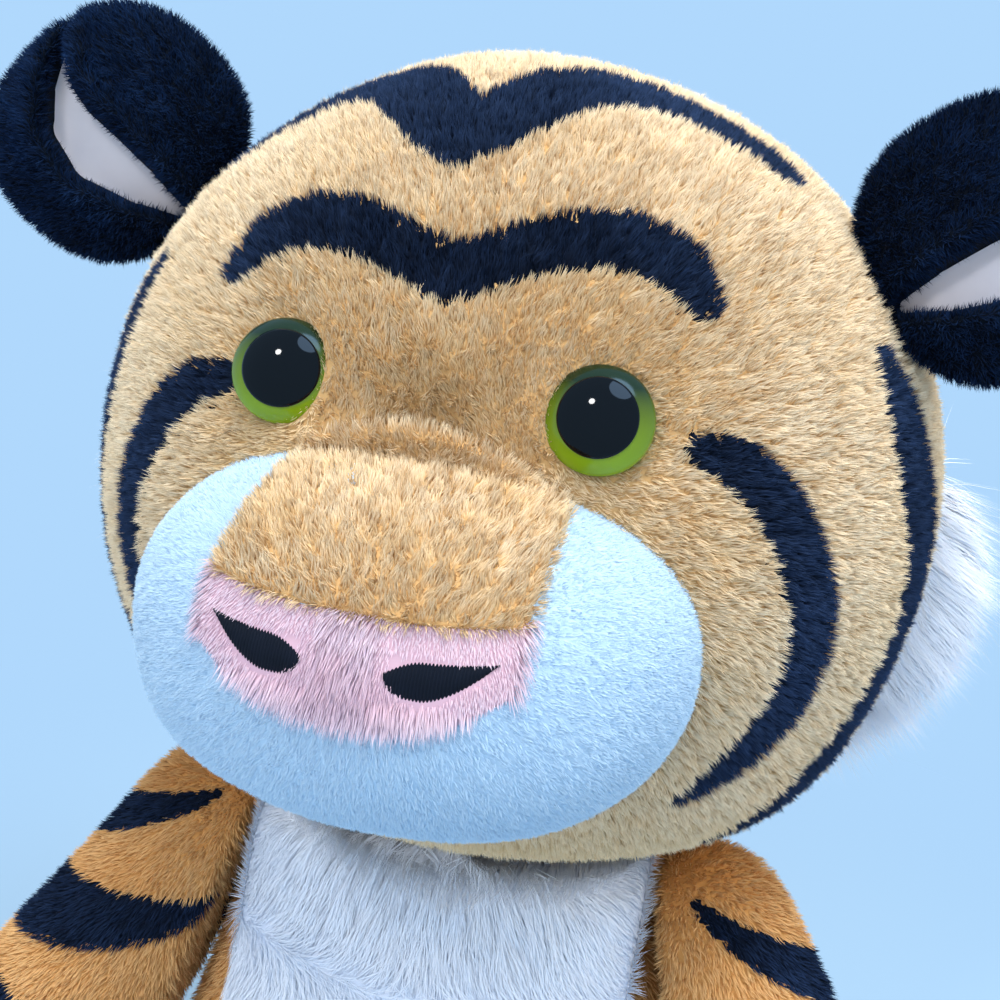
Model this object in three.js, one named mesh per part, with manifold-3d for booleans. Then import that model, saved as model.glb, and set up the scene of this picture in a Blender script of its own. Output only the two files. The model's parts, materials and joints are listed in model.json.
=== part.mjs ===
// A seated plush tiger: a big ball head on a pear body, with arms, haunched legs, ears and a tail.
// Millimetres, +Z up. The toy faces -Y, and the origin is the middle of its seat, on the surface it sits on.

import * as THREE from "three";
import * as BufferGeometryUtils from "three/addons/utils/BufferGeometryUtils.js";
import Module from "manifold-3d";

const wasm = await Module();
wasm.setup();

// Clearances

const seamGap = 0.3;
const sweepGap = 0.5;
const cutOverrun = 200;
const seatCutDepth = 0.5;

// Head ball

const headWidth = 160;
const headDepth = 152;
const headHeight = 154;
const headCentreHeight = 214;
const headForward = 14;

// Body: a pear whose outline is written in shares of its half width and of its height

const bodyWidth = 134;
const bodyDepth = 112;
const bodyHeight = 138;
const bodyLean = 14;
const bodyOutlineShares = [
  [0, 0], [0.56, 0.003], [0.8, 0.035], [0.95, 0.13], [1, 0.27], [0.99, 0.45],
  [0.93, 0.64], [0.83, 0.8], [0.69, 0.92], [0.42, 0.985], [0, 1],
];

// Neck roll: a stuffed cylinder lying across the body, on which the head nods

const neckSeatHeight = 130;
const neckRadius = 24;
const neckLength = 52;
const neckAxisRise = 4;
const neckEndRounding = 6;
const neckForward = 6;

// Seat: a round base panel under a bag of pellets

const seatPanelRadius = 26;
const seatPanelThickness = 3;
const pelletBagHeight = 34;
const seatPocketHeight = 40;

// Chest bib: a pile panel over the front of the body

const bibThickness = 4.5;
const bibTopHeight = 133;
const bibOutlineHeights = [98, 66, 40, 25];
const bibHalfWidths = [39, 38.5, 31, 21];

// Arms

const shoulderX = 52;
const shoulderForward = 28;
const shoulderHeight = 128;
const shoulderRadius = 19.5;
const armSeatX = 43;
const armSeatTiltDegrees = 15;
const elbowX = 74;
const elbowForward = 40;
const elbowHeight = 94;
const elbowRadius = 20.5;
const pawX = 94;
const pawForward = 49;
const pawHeight = 62;
const pawRadius = 22;

// Legs: a round haunch that turns on the hip, with the foot stretched forward

const hipForward = 12;
const haunchRadius = 35.5;
const haunchInnerX = 32.3;
const haunchOuterX = 70;
const haunchEdgeX = 50;
const ankleX = 54;
const ankleForward = 62;
const ankleHeight = 24;
const ankleRadius = 21;
const footX = 59;
const footForward = 104;
const footRadius = 25;
const soleForward = 122;
const soleRadius = 16.5;
const soleThickness = 2.5;
const legLiftDegrees = 20;

// Tail

const tailRootBack = 46;
const tailRootHeight = 25;
const tailRadius = 11;
const tailTipRadius = 9.5;
const tailTipLength = 26;
const tailRoute = [[14, 70], [38, 90], [66, 96], [90, 84]];
const tailSwingSteps = [-25, -13, 0, 13, 25];

// Muzzle, nose bridge and nose, placed from the centre of the head

const muzzleWidth = 84;
const muzzleDepth = 82;
const muzzleHeight = 55;
const muzzleInset = 17;
const muzzleForward = headDepth / 2 - muzzleInset;
const muzzleDrop = 13.5;
const bridgeHalfWidth = 21;
const bridgeDrop = 2;
const noseHalfWidth = 21;
const noseDrop = 14.5;
const noseShoulderDrop = 8;
const noseDepth = 16;
const noseBackForward = muzzleForward + muzzleDepth / 2 - noseDepth;
const nostrilThickness = 1.2;
const nostrilInnerX = 6.4;
const nostrilOuterX = 17.9;
const nostrilTopDrop = 3.2;
const nostrilHeight = 5.6;
const nostrilTaperShares = [[0.7, 0.85], [1, 0.2], [0.7, 0]];

// Eyes: a domed button with its shank, a coloured collar behind it and a washer inside the head

const eyeX = 23.5;
const eyeRise = 21.7;
const eyeForward = (headDepth / 2) * Math.sqrt(1 - (2 * eyeX / headWidth) ** 2 - (2 * eyeRise / headHeight) ** 2);
const collarRadius = 8;
const collarRimThickness = 1.2;
const collarThickness = 2.2;
const collarSink = 1;
const pupilRadius = 5.8;
const pupilHeight = 3.6;
const shankRadius = 2.4;
const shankLength = 16;
const washerRadius = 8;
const washerThickness = 2;
const washerDepth = 9;
const washerPocketRadius = 9;
const washerPocketLength = 13;

// Ears: a folded leaf with a cleft in front, which holds the pale lining

const earBaseX = 61;
const earBaseForward = 20.5;
const earBaseRise = 42;
const earLift = 3.2;
const earLength = 38;
const earWidth = 46;
const earThickness = 12;
const earRootRadius = 6;
const earRootLength = 38;
const earHingeDirection = new THREE.Vector3(-0.525, 0.294, 0.797).normalize();
const earReachDirection = new THREE.Vector3(0.793, -0.171, 0.585).normalize();
const cleftStart = 4;
const cleftEnd = 33;
const cleftHalfWidth = 6;
const cleftDepth = 7;
const liningThickness = 2.2;

// Cheek ruffs: two crescents of pile behind the cheeks, on the back half of the head

const ruffOut = 30;
const ruffBack = 16;
const ruffDrop = 14;
const ruffWidth = 118;
const ruffBreadth = 28;
const ruffHeight = 88;

// Facets

const headSegments = 44;
const headRings = 24;
const muzzleSegments = 36;
const muzzleRings = 18;
const bodySegments = 36;
const bodyRings = 18;
const limbSides = 18;
const limbRings = 9;
const capSteps = 5;
const mergeTolerance = 1e-4;
const roundSegments = 36;
const smallSegments = 20;
const smallRings = 12;
const domeSteps = 5;

// Materials

const colours = {
  goldenPlush: 0xd3a566,
  blackPlush: 0x0e1524,
  whitePlush: 0xe9edf4,
  pinkPlush: 0xf0bcc8,
  greyLining: 0xcfcbd2,
  greenPlastic: 0x6f8f2a,
  blackPlastic: 0x06070a,
  whitePlastic: 0xe4e4e0,
  cottonBag: 0xd8d2c4,
};
const plushRoughness = 0.95;
const plasticRoughness = 0.12;

function plush(colour) {
  return new THREE.MeshStandardMaterial({ color: colour, roughness: plushRoughness, metalness: 0 });
}

function plastic(colour) {
  return new THREE.MeshStandardMaterial({ color: colour, roughness: plasticRoughness, metalness: 0 });
}

// Solids and meshes

const xAxis = new THREE.Vector3(1, 0, 0);
const yAxis = new THREE.Vector3(0, 1, 0);
const zAxis = new THREE.Vector3(0, 0, 1);

function toSolid(geometry) {
  const bare = geometry.clone();
  for (const name of Object.keys(bare.attributes)) {
    if (name !== "position") {
      bare.deleteAttribute(name);
    }
  }
  const merged = BufferGeometryUtils.mergeVertices(bare, mergeTolerance);
  const mesh = new wasm.Mesh({
    numProp: 3,
    vertProperties: new Float32Array(merged.attributes.position.array),
    triVerts: new Uint32Array(withoutSlivers(merged.index.array)),
  });
  return new wasm.Manifold(mesh);
}

function withoutSlivers(indices) {
  const kept = [];
  for (let i = 0; i < indices.length; i += 3) {
    const [a, b, c] = [indices[i], indices[i + 1], indices[i + 2]];
    if (a !== b && b !== c && c !== a) {
      kept.push(a, b, c);
    }
  }
  return kept;
}

function toGeometry(solid) {
  const mesh = solid.getMesh();
  const geometry = new THREE.BufferGeometry();
  geometry.setAttribute("position", new THREE.BufferAttribute(new Float32Array(mesh.vertProperties), 3));
  geometry.setIndex(new THREE.BufferAttribute(new Uint32Array(mesh.triVerts), 1));
  geometry.computeVertexNormals();
  return geometry;
}

// A ball squashed to three half sizes, with its poles up and down

function ball(halfWidth, halfDepth, halfHeight, centre, segments = smallSegments, rings = smallRings) {
  const geometry = new THREE.SphereGeometry(1, segments, rings);
  geometry.rotateX(Math.PI / 2);
  geometry.scale(halfWidth, halfDepth, halfHeight);
  geometry.translate(centre.x, centre.y, centre.z);
  return toSolid(geometry);
}

// A turned form: profile points are [radius, distance along the axis], from low to high

function turned(profile, axis, origin, segments = roundSegments) {
  const points = profile.map(([radius, along]) => new THREE.Vector2(radius, along));
  const geometry = new THREE.LatheGeometry(points, segments);
  const turn = new THREE.Quaternion().setFromUnitVectors(new THREE.Vector3(0, 1, 0), axis);
  geometry.applyQuaternion(turn);
  geometry.translate(origin.x, origin.y, origin.z);
  return toSolid(geometry);
}

function rod(radius, low, high, axis, origin, segments = roundSegments) {
  return turned([[0, low], [radius, low], [radius, high], [0, high]], axis, origin, segments);
}

// Everything on the side of a plane that its normal points to

function beyondPlane(point, normal) {
  const geometry = new THREE.BoxGeometry(2 * cutOverrun, 2 * cutOverrun, 2 * cutOverrun);
  geometry.translate(0, 0, cutOverrun);
  geometry.applyQuaternion(new THREE.Quaternion().setFromUnitVectors(zAxis, normal));
  geometry.translate(point.x, point.y, point.z);
  return toSolid(geometry);
}

// An outline drawn as seen from the front, [x, z], pushed through from one y to another

function frontPrism(outline, fromY, toY) {
  const shape = new THREE.Shape(outline.map(([x, z]) => new THREE.Vector2(x, z)));
  const geometry = new THREE.ExtrudeGeometry(shape, { depth: toY - fromY, bevelEnabled: false });
  geometry.rotateX(Math.PI / 2);
  geometry.translate(0, toY, 0);
  return toSolid(geometry);
}

// An outline drawn as seen from the side, [y, z], pushed outwards from one x to another on one side

function sidePrism(side, outline, fromX, toX) {
  const shape = new THREE.Shape(outline.map(([y, z]) => new THREE.Vector2(y, z)));
  const geometry = new THREE.ExtrudeGeometry(shape, { depth: toX - fromX, bevelEnabled: false });
  geometry.applyMatrix4(new THREE.Matrix4().makeBasis(yAxis, zAxis, xAxis));
  geometry.translate(fromX, 0, 0);
  const solid = toSolid(geometry);
  return side > 0 ? solid : solid.mirror([1, 0, 0]);
}

// A stuffed limb: round sections along a smooth route, rounded off at both ends

function stuffedLimb(stations, growth = 0) {
  const route = new THREE.CatmullRomCurve3(stations.map((station) => station.at));
  const radiusAt = new THREE.SplineCurve(stations.map((station, i) => new THREE.Vector2(i, station.radius)));
  const frames = route.computeFrenetFrames(limbRings, false);
  const positions = [];
  const rings = [];
  const addRing = (centre, radius, frame) => {
    const first = positions.length / 3;
    for (let side = 0; side < limbSides; side += 1) {
      const angle = (2 * Math.PI * side) / limbSides;
      const spoke = frames.normals[frame].clone().multiplyScalar(Math.cos(angle) * radius);
      spoke.addScaledVector(frames.binormals[frame], Math.sin(angle) * radius);
      positions.push(centre.x + spoke.x, centre.y + spoke.y, centre.z + spoke.z);
    }
    rings.push(first);
  };
  const addPole = (centre) => {
    positions.push(centre.x, centre.y, centre.z);
    return positions.length / 3 - 1;
  };
  const firstRadius = stations[0].radius + growth;
  const lastRadius = stations[stations.length - 1].radius + growth;
  const start = route.getPoint(0);
  const end = route.getPoint(1);
  const startPole = addPole(start.clone().addScaledVector(frames.tangents[0], -firstRadius));
  for (let step = 1; step < capSteps; step += 1) {
    const angle = (Math.PI / 2) * (step / capSteps);
    const centre = start.clone().addScaledVector(frames.tangents[0], -firstRadius * Math.cos(angle));
    addRing(centre, firstRadius * Math.sin(angle), 0);
  }
  for (let ring = 0; ring <= limbRings; ring += 1) {
    const share = ring / limbRings;
    const radius = radiusAt.getPoint(share).y + growth;
    addRing(route.getPoint(share), radius, ring);
  }
  for (let step = capSteps - 1; step > 0; step -= 1) {
    const angle = (Math.PI / 2) * (step / capSteps);
    const centre = end.clone().addScaledVector(frames.tangents[limbRings], lastRadius * Math.cos(angle));
    addRing(centre, lastRadius * Math.sin(angle), limbRings);
  }
  const endPole = addPole(end.clone().addScaledVector(frames.tangents[limbRings], lastRadius));
  const indices = [];
  for (let side = 0; side < limbSides; side += 1) {
    const next = (side + 1) % limbSides;
    indices.push(startPole, rings[0] + next, rings[0] + side);
    for (let i = 0; i + 1 < rings.length; i += 1) {
      indices.push(rings[i] + side, rings[i] + next, rings[i + 1] + side);
      indices.push(rings[i] + next, rings[i + 1] + next, rings[i + 1] + side);
    }
    const last = rings[rings.length - 1];
    indices.push(endPole, last + side, last + next);
  }
  const geometry = new THREE.BufferGeometry();
  geometry.setAttribute("position", new THREE.BufferAttribute(new Float32Array(positions), 3));
  geometry.setIndex(indices);
  return toSolid(geometry);
}

// A solid turned about an axis through a point

function swung(solid, degrees, axis, point) {
  const turn = new THREE.Matrix4().makeRotationAxis(axis, THREE.MathUtils.degToRad(degrees));
  const matrix = new THREE.Matrix4().makeTranslation(point.x, point.y, point.z);
  matrix.multiply(turn);
  matrix.multiply(new THREE.Matrix4().makeTranslation(-point.x, -point.y, -point.z));
  return solid.transform(matrix.elements);
}

// Places that several pieces share

const up = zAxis;
const forwardAxis = new THREE.Vector3(0, -1, 0);
const floorPoint = new THREE.Vector3(0, 0, 0);
const headCentre = new THREE.Vector3(0, -headForward, headCentreHeight);
const muzzleCentre = new THREE.Vector3(0, -headForward - muzzleForward, headCentreHeight - muzzleDrop);
const neckAxisPoint = new THREE.Vector3(0, -neckForward, neckSeatHeight + neckAxisRise);
const hipHeight = haunchRadius - seatCutDepth;

function onSide(side, x, forward, height) {
  return new THREE.Vector3(side * x, -forward, height);
}

function armSeat(side) {
  const tilt = THREE.MathUtils.degToRad(armSeatTiltDegrees);
  const normal = new THREE.Vector3(side * Math.cos(tilt), 0, Math.sin(tilt));
  return { point: onSide(side, armSeatX, shoulderForward, shoulderHeight), normal };
}

function headForm(growth) {
  return ball(
    headWidth / 2 + growth, headDepth / 2 + growth, headHeight / 2 + growth,
    headCentre, headSegments, headRings,
  );
}

function aboveFloor(solid) {
  return solid.intersect(beyondPlane(floorPoint, up));
}

// Body

function bodyForm(growth) {
  const outline = bodyOutlineShares.map(([radiusShare, heightShare]) => (
    new THREE.Vector2(radiusShare, heightShare)
  ));
  const points = new THREE.SplineCurve(outline).getPoints(bodyRings);
  for (const point of points) {
    point.x = Math.max(point.x, 0);
  }
  points[0].x = 0;
  points[points.length - 1].x = 0;
  const geometry = new THREE.LatheGeometry(points, bodySegments);
  geometry.rotateX(Math.PI / 2);
  const height = bodyHeight + 2 * growth;
  const place = geometry.attributes.position;
  for (let i = 0; i < place.count; i += 1) {
    const share = place.getZ(i);
    place.setX(i, place.getX(i) * (bodyWidth / 2 + growth));
    place.setY(i, place.getY(i) * (bodyDepth / 2 + growth) - bodyLean * share);
    place.setZ(i, share * height - seatCutDepth - growth);
  }
  return toSolid(geometry);
}

function torso() {
  let solid = aboveFloor(bodyForm(0));
  solid = solid.subtract(beyondPlane(new THREE.Vector3(0, 0, neckSeatHeight), up));
  const seatPocket = rod(seatPanelRadius + seamGap, -cutOverrun, seatPocketHeight, up, floorPoint);
  solid = solid.subtract(seatPocket);
  for (const side of [1, -1]) {
    const seat = armSeat(side);
    solid = solid.subtract(beyondPlane(seat.point, seat.normal));
    solid = solid.subtract(legPocket(side));
  }
  return solid.subtract(tailPocket());
}

function seatPanel() {
  return rod(seatPanelRadius, 0, seatPanelThickness, up, floorPoint);
}

function pelletBag() {
  const low = seatPanelThickness + seamGap;
  const middle = new THREE.Vector3(0, 0, low + pelletBagHeight / 2);
  const radius = seatPanelRadius - seamGap;
  return ball(radius, radius, pelletBagHeight / 2, middle);
}

function chestBib() {
  const right = [[bibHalfWidths[0], bibTopHeight]];
  bibOutlineHeights.forEach((height, i) => {
    right.push([bibHalfWidths[i], height]);
  });
  const lowest = bibOutlineHeights[bibOutlineHeights.length - 1];
  const curve = new THREE.SplineCurve(right.map(([x, z]) => new THREE.Vector2(x, z)));
  const edge = curve.getPoints(smallSegments).map((point) => [point.x, point.y]);
  const foot = arcPoints(bibHalfWidths[bibHalfWidths.length - 1], lowest, smallSegments);
  const half = edge.concat(foot);
  const outline = half.concat(half.slice(0, -1).reverse().map(([x, z]) => [-x, z]));
  const prism = frontPrism(outline, -cutOverrun, 0);
  return bodyForm(bibThickness).intersect(prism).subtract(bodyForm(seamGap));
}

// The lower right quarter of a flattened round end, from its side to its lowest point

function arcPoints(halfWidth, height, count) {
  const points = [];
  for (let i = 1; i <= count; i += 1) {
    const angle = (Math.PI / 2) * (i / count);
    points.push([halfWidth * Math.cos(angle), height - (halfWidth / 2) * Math.sin(angle)]);
  }
  return points;
}

// Neck and head

function neckRoll() {
  const half = neckLength / 2;
  const flat = half - neckEndRounding;
  const end = neckRadius - neckEndRounding;
  const profile = [[0, -half], [end, -half], [neckRadius, -flat], [neckRadius, flat], [end, half], [0, half]];
  const roll = turned(profile, xAxis, neckAxisPoint);
  const floor = new THREE.Vector3(0, 0, neckSeatHeight + seamGap);
  return roll.intersect(beyondPlane(floor, up));
}

function head() {
  const half = neckLength / 2 + seamGap;
  let solid = headForm(0);
  solid = solid.subtract(rod(neckRadius + seamGap, -half, half, xAxis, neckAxisPoint));
  for (const side of [1, -1]) {
    const hinge = earHinge(side);
    const reach = earRootLength / 2 + earRootRadius + seamGap;
    solid = solid.subtract(rod(earRootRadius + seamGap, -reach, reach, hinge.along, hinge.point));
    solid = solid.subtract(eyePocket(side));
  }
  return solid;
}

// Muzzle

function muzzleForm(growth) {
  return ball(
    muzzleWidth / 2 + growth, muzzleDepth / 2 + growth, muzzleHeight / 2 + growth,
    muzzleCentre, muzzleSegments, muzzleRings,
  );
}

function bridgePrism(growth) {
  const low = headCentreHeight - bridgeDrop - growth;
  const high = headCentreHeight + headHeight / 2;
  const half = bridgeHalfWidth + growth;
  return frontPrism([[-half, low], [half, low], [half, high], [-half, high]], -cutOverrun, 0);
}

function nosePrism(growth) {
  const top = headCentreHeight - bridgeDrop - seamGap + growth;
  const shoulder = headCentreHeight - noseShoulderDrop;
  const bottom = headCentreHeight - noseDrop - growth;
  const half = noseHalfWidth + growth;
  const outline = [[-half, top], [-half, shoulder]];
  const turns = smallSegments / 2;
  for (let i = 1; i < turns; i += 1) {
    const angle = Math.PI * (i / turns);
    outline.push([-half * Math.cos(angle), shoulder - (shoulder - bottom) * Math.sin(angle)]);
  }
  outline.push([half, shoulder], [half, top]);
  const back = -headForward - noseBackForward + growth;
  return frontPrism(outline, -cutOverrun, back);
}

function muzzle() {
  return muzzleForm(0)
    .subtract(headForm(seamGap))
    .subtract(bridgePrism(seamGap))
    .subtract(nosePrism(seamGap));
}

function noseBridge() {
  return muzzleForm(0).intersect(bridgePrism(0)).subtract(headForm(seamGap));
}

function nose() {
  return muzzleForm(0).intersect(nosePrism(0));
}

function nostril(side) {
  const top = headCentreHeight - nostrilTopDrop;
  const length = nostrilOuterX - nostrilInnerX;
  const round = nostrilHeight / 2;
  const outline = [];
  for (let i = 0; i <= smallSegments; i += 1) {
    const angle = Math.PI / 2 + Math.PI * (i / smallSegments);
    const x = nostrilInnerX + round + round * Math.cos(angle);
    outline.push([side * x, top - round + round * Math.sin(angle)]);
  }
  for (const [alongShare, dropShare] of nostrilTaperShares) {
    outline.push([side * (nostrilInnerX + length * alongShare), top - nostrilHeight * dropShare]);
  }
  const prism = frontPrism(outline, -cutOverrun, -headForward - noseBackForward);
  return muzzleForm(seamGap + nostrilThickness).intersect(prism).subtract(muzzleForm(seamGap));
}

// Eyes

function eyePlace(side) {
  const point = new THREE.Vector3(side * eyeX, -headForward - eyeForward, headCentreHeight + eyeRise);
  const normal = new THREE.Vector3(
    (side * eyeX) / headWidth ** 2, -eyeForward / headDepth ** 2, eyeRise / headHeight ** 2,
  ).normalize();
  return { point, normal };
}

function eyePocket(side) {
  const { point, normal } = eyePlace(side);
  const shankHole = shankRadius + seamGap;
  const pocketTop = -washerDepth + seamGap;
  const profile = [
    [0, -washerDepth - washerPocketLength], [washerPocketRadius, -washerDepth - washerPocketLength],
    [washerPocketRadius, pocketTop], [shankHole, pocketTop], [shankHole, -collarSink - seamGap],
    [collarRadius + seamGap, -collarSink - seamGap], [collarRadius + seamGap, cutOverrun], [0, cutOverrun],
  ];
  return turned(profile, normal, point, smallSegments);
}

function eyeCollar(side) {
  const { point, normal } = eyePlace(side);
  const hole = shankRadius + seamGap;
  const rim = -collarSink + collarRimThickness;
  const top = -collarSink + collarThickness;
  const profile = [
    [hole, -collarSink], [collarRadius, -collarSink], [collarRadius, rim],
    [pupilRadius, top], [hole, top], [hole, -collarSink],
  ];
  return turned(profile, normal, point, smallSegments);
}

function eyeButton(side) {
  const { point, normal } = eyePlace(side);
  const base = -collarSink + collarThickness + seamGap;
  const profile = [[0, -shankLength], [shankRadius, -shankLength], [shankRadius, base], [pupilRadius, base]];
  for (let i = 1; i <= domeSteps; i += 1) {
    const angle = (Math.PI / 2) * (i / domeSteps);
    const radius = i === domeSteps ? 0 : pupilRadius * Math.cos(angle);
    profile.push([radius, base + pupilHeight * Math.sin(angle)]);
  }
  return turned(profile, normal, point, smallSegments);
}

function eyeWasher(side) {
  const { point, normal } = eyePlace(side);
  const hole = shankRadius + seamGap;
  const low = -washerDepth - washerThickness;
  const profile = [[hole, low], [washerRadius, low], [washerRadius, -washerDepth], [hole, -washerDepth], [hole, low]];
  return turned(profile, normal, point, smallSegments);
}

// Ears

function mirroredTo(side, vector) {
  return new THREE.Vector3(side * vector.x, vector.y, vector.z);
}

function earHinge(side) {
  const raw = new THREE.Vector3(
    earBaseX / (headWidth / 2), -earBaseForward / (headDepth / 2), earBaseRise / (headHeight / 2),
  ).normalize();
  const surface = new THREE.Vector3(raw.x * (headWidth / 2), raw.y * (headDepth / 2), raw.z * (headHeight / 2));
  const normal = new THREE.Vector3(
    surface.x / headWidth ** 2, surface.y / headDepth ** 2, surface.z / headHeight ** 2,
  ).normalize();
  const local = surface.addScaledVector(normal, earLift);
  const point = mirroredTo(side, local).add(headCentre);
  return { point, along: mirroredTo(side, earHingeDirection), reach: mirroredTo(side, earReachDirection) };
}

// A solid drawn with x along the hinge, z away from the head and y to the back, set at the ear's root

function atEar(side, solid) {
  const { point } = earHinge(1);
  const along = earHingeDirection.clone().negate();
  const back = earReachDirection.clone().cross(along).normalize();
  const reach = along.clone().cross(back).normalize();
  const matrix = new THREE.Matrix4().makeBasis(along, back, reach).setPosition(point);
  const placed = solid.transform(matrix.elements);
  return side > 0 ? placed : placed.mirror([1, 0, 0]);
}

function cleftPrism(growth, fromY) {
  const count = smallSegments / 2;
  const outline = [];
  const middle = (cleftStart + cleftEnd) / 2;
  const half = (cleftEnd - cleftStart) / 2 + growth;
  for (let i = 0; i < count; i += 1) {
    const angle = 2 * Math.PI * (i / count);
    outline.push([(cleftHalfWidth + growth) * Math.cos(angle), middle + half * Math.sin(angle)]);
  }
  return frontPrism(outline, fromY, -earThickness / 2 + cleftDepth + growth);
}

function earLeaf() {
  const reach = earLength / 2 + earRootRadius;
  const centre = new THREE.Vector3(0, 0, earLength - reach);
  const leaf = ball(earWidth / 2, earThickness / 2, reach, centre, roundSegments, smallRings);
  const root = ball(earRootLength / 2, earRootRadius, earRootRadius, floorPoint);
  return leaf.intersect(beyondPlane(floorPoint, up)).add(root);
}

function earShell(side) {
  return atEar(side, earLeaf().subtract(cleftPrism(0, -cutOverrun)));
}

function earLining(side) {
  const back = -earThickness / 2 + cleftDepth - seamGap;
  const slab = cleftPrism(-seamGap, back - liningThickness);
  return atEar(side, slab.intersect(earLeaf()));
}

// Cheek ruffs

function ruff(side) {
  const centre = headCentre.clone().add(new THREE.Vector3(side * ruffOut, ruffBack, -ruffDrop));
  const tuft = ball(ruffWidth / 2, ruffBreadth / 2, ruffHeight / 2, centre, headSegments, muzzleRings);
  return tuft.subtract(headForm(seamGap)).intersect(beyondPlane(headCentre, new THREE.Vector3(side, 0, 0)));
}

// Arms

function arm(side) {
  const seat = armSeat(side);
  const limb = stuffedLimb([
    { at: onSide(side, shoulderX, shoulderForward, shoulderHeight), radius: shoulderRadius },
    { at: onSide(side, elbowX, elbowForward, elbowHeight), radius: elbowRadius },
    { at: onSide(side, pawX, pawForward, pawHeight), radius: pawRadius },
  ]);
  const outside = seat.point.clone().addScaledVector(seat.normal, seamGap);
  return limb.intersect(beyondPlane(outside, seat.normal));
}

// Legs

// The room that a leg takes in the body: its round haunch, and the fan that its shin lifts through

function legPocket(side) {
  const hip = onSide(side, 0, hipForward, hipHeight);
  const outward = new THREE.Vector3(side, 0, 0);
  const inner = haunchInnerX - seamGap;
  const round = rod(haunchRadius + seamGap, inner, cutOverrun, outward, hip);
  const lift = THREE.MathUtils.degToRad(legLiftDegrees);
  const shin = ankleRadius + sweepGap;
  const reach = footForward;
  const outline = [
    [shin * Math.sin(lift), shin * Math.cos(lift)],
    [-reach * Math.cos(lift) + shin * Math.sin(lift), reach * Math.sin(lift) + shin * Math.cos(lift)],
    [-reach, -haunchRadius],
    [0, -haunchRadius],
  ];
  const fan = sidePrism(side, outline, inner, cutOverrun).translate([hip.x, hip.y, hip.z]);
  return round.add(fan);
}

function legForm(side, growth) {
  const hip = onSide(side, 0, hipForward, hipHeight);
  const outward = new THREE.Vector3(side, 0, 0);
  const inner = haunchInnerX - growth;
  const radius = haunchRadius + growth;
  const profile = [[0, inner], [radius, inner]];
  for (let i = 0; i <= domeSteps; i += 1) {
    const angle = (Math.PI / 2) * (i / domeSteps);
    const along = haunchEdgeX + (haunchOuterX + growth - haunchEdgeX) * Math.sin(angle);
    profile.push([i === domeSteps ? 0 : radius * Math.cos(angle), along]);
  }
  const haunch = turned(profile, outward, hip);
  const footHeight = footRadius - seatCutDepth;
  const shaft = stuffedLimb([
    { at: onSide(side, ankleX, hipForward, hipHeight), radius: ankleRadius },
    { at: onSide(side, ankleX, ankleForward, ankleHeight), radius: ankleRadius },
    { at: onSide(side, footX, footForward, footHeight), radius: footRadius },
  ], growth);
  const innerFace = beyondPlane(onSide(side, inner, 0, 0), outward);
  return haunch.add(shaft.intersect(innerFace));
}

function leg(side) {
  const front = beyondPlane(new THREE.Vector3(0, -soleForward, 0), forwardAxis);
  return aboveFloor(legForm(side, 0)).subtract(front);
}

function footSole(side) {
  const centre = onSide(side, footX, soleForward + seamGap, footRadius - seatCutDepth);
  const rim = soleThickness / 2;
  const profile = [[0, 0], [soleRadius, 0], [soleRadius, rim], [soleRadius - rim, soleThickness], [0, soleThickness]];
  return turned(profile, forwardAxis, centre, smallSegments);
}

// Tail

function tailRoot() {
  return new THREE.Vector3(0, tailRootBack, tailRootHeight);
}

function tailForm(growth) {
  const tipHeight = tailTipRadius;
  const stations = [{ at: tailRoot(), radius: tailRadius }];
  tailRoute.forEach(([x, y], i) => {
    const share = (i + 1) / tailRoute.length;
    const height = i === 0 ? (tailRootHeight + tailRadius) / 2 : tailRadius + (tipHeight - tailRadius) * share;
    const radius = tailRadius + (tailTipRadius - tailRadius) * share;
    stations.push({ at: new THREE.Vector3(x, y, height), radius });
  });
  return stuffedLimb(stations, growth);
}

// The room that the tail takes in the body as it swings about its root

function tailPocket() {
  const [nextX, nextY] = tailRoute[0];
  const root = tailRoot();
  const next = new THREE.Vector3(nextX, nextY, (tailRootHeight + tailRadius) / 2);
  const direction = next.clone().sub(root).normalize();
  const radius = tailRadius + sweepGap;
  let pocket = ball(radius, radius, radius, root);
  for (const degrees of tailSwingSteps) {
    const stretch = rod(radius, 0, root.distanceTo(next), direction, root, smallSegments);
    pocket = pocket.add(swung(stretch, degrees, up, root));
  }
  return pocket;
}

function tailTipCut(gap) {
  const [endX, endY] = tailRoute[tailRoute.length - 1];
  const [beforeX, beforeY] = tailRoute[tailRoute.length - 2];
  const direction = new THREE.Vector3(endX - beforeX, endY - beforeY, 0).normalize();
  const point = new THREE.Vector3(endX, endY, tailTipRadius);
  point.addScaledVector(direction, tailTipRadius - tailTipLength + gap);
  return beyondPlane(point, direction);
}

function tail() {
  return aboveFloor(tailForm(0)).subtract(tailTipCut(0));
}

function tailTip() {
  return aboveFloor(tailForm(0)).intersect(tailTipCut(seamGap));
}

// The assembly

const group = new THREE.Group();

function addPiece(name, solid, material) {
  const mesh = new THREE.Mesh(toGeometry(solid), material);
  mesh.name = name;
  group.add(mesh);
}

addPiece("torso", torso(), plush(colours.goldenPlush));
addPiece("seat_panel", seatPanel(), plush(colours.goldenPlush));
addPiece("pellet_bag", pelletBag(), plush(colours.cottonBag));
addPiece("chest_bib", chestBib(), plush(colours.whitePlush));
addPiece("neck", neckRoll(), plush(colours.goldenPlush));
addPiece("head", head(), plush(colours.goldenPlush));
addPiece("muzzle", muzzle(), plush(colours.whitePlush));
addPiece("nose_bridge", noseBridge(), plush(colours.goldenPlush));
addPiece("nose", nose(), plush(colours.pinkPlush));
addPiece("tail", tail(), plush(colours.goldenPlush));
addPiece("tail_tip", tailTip(), plush(colours.blackPlush));

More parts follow.
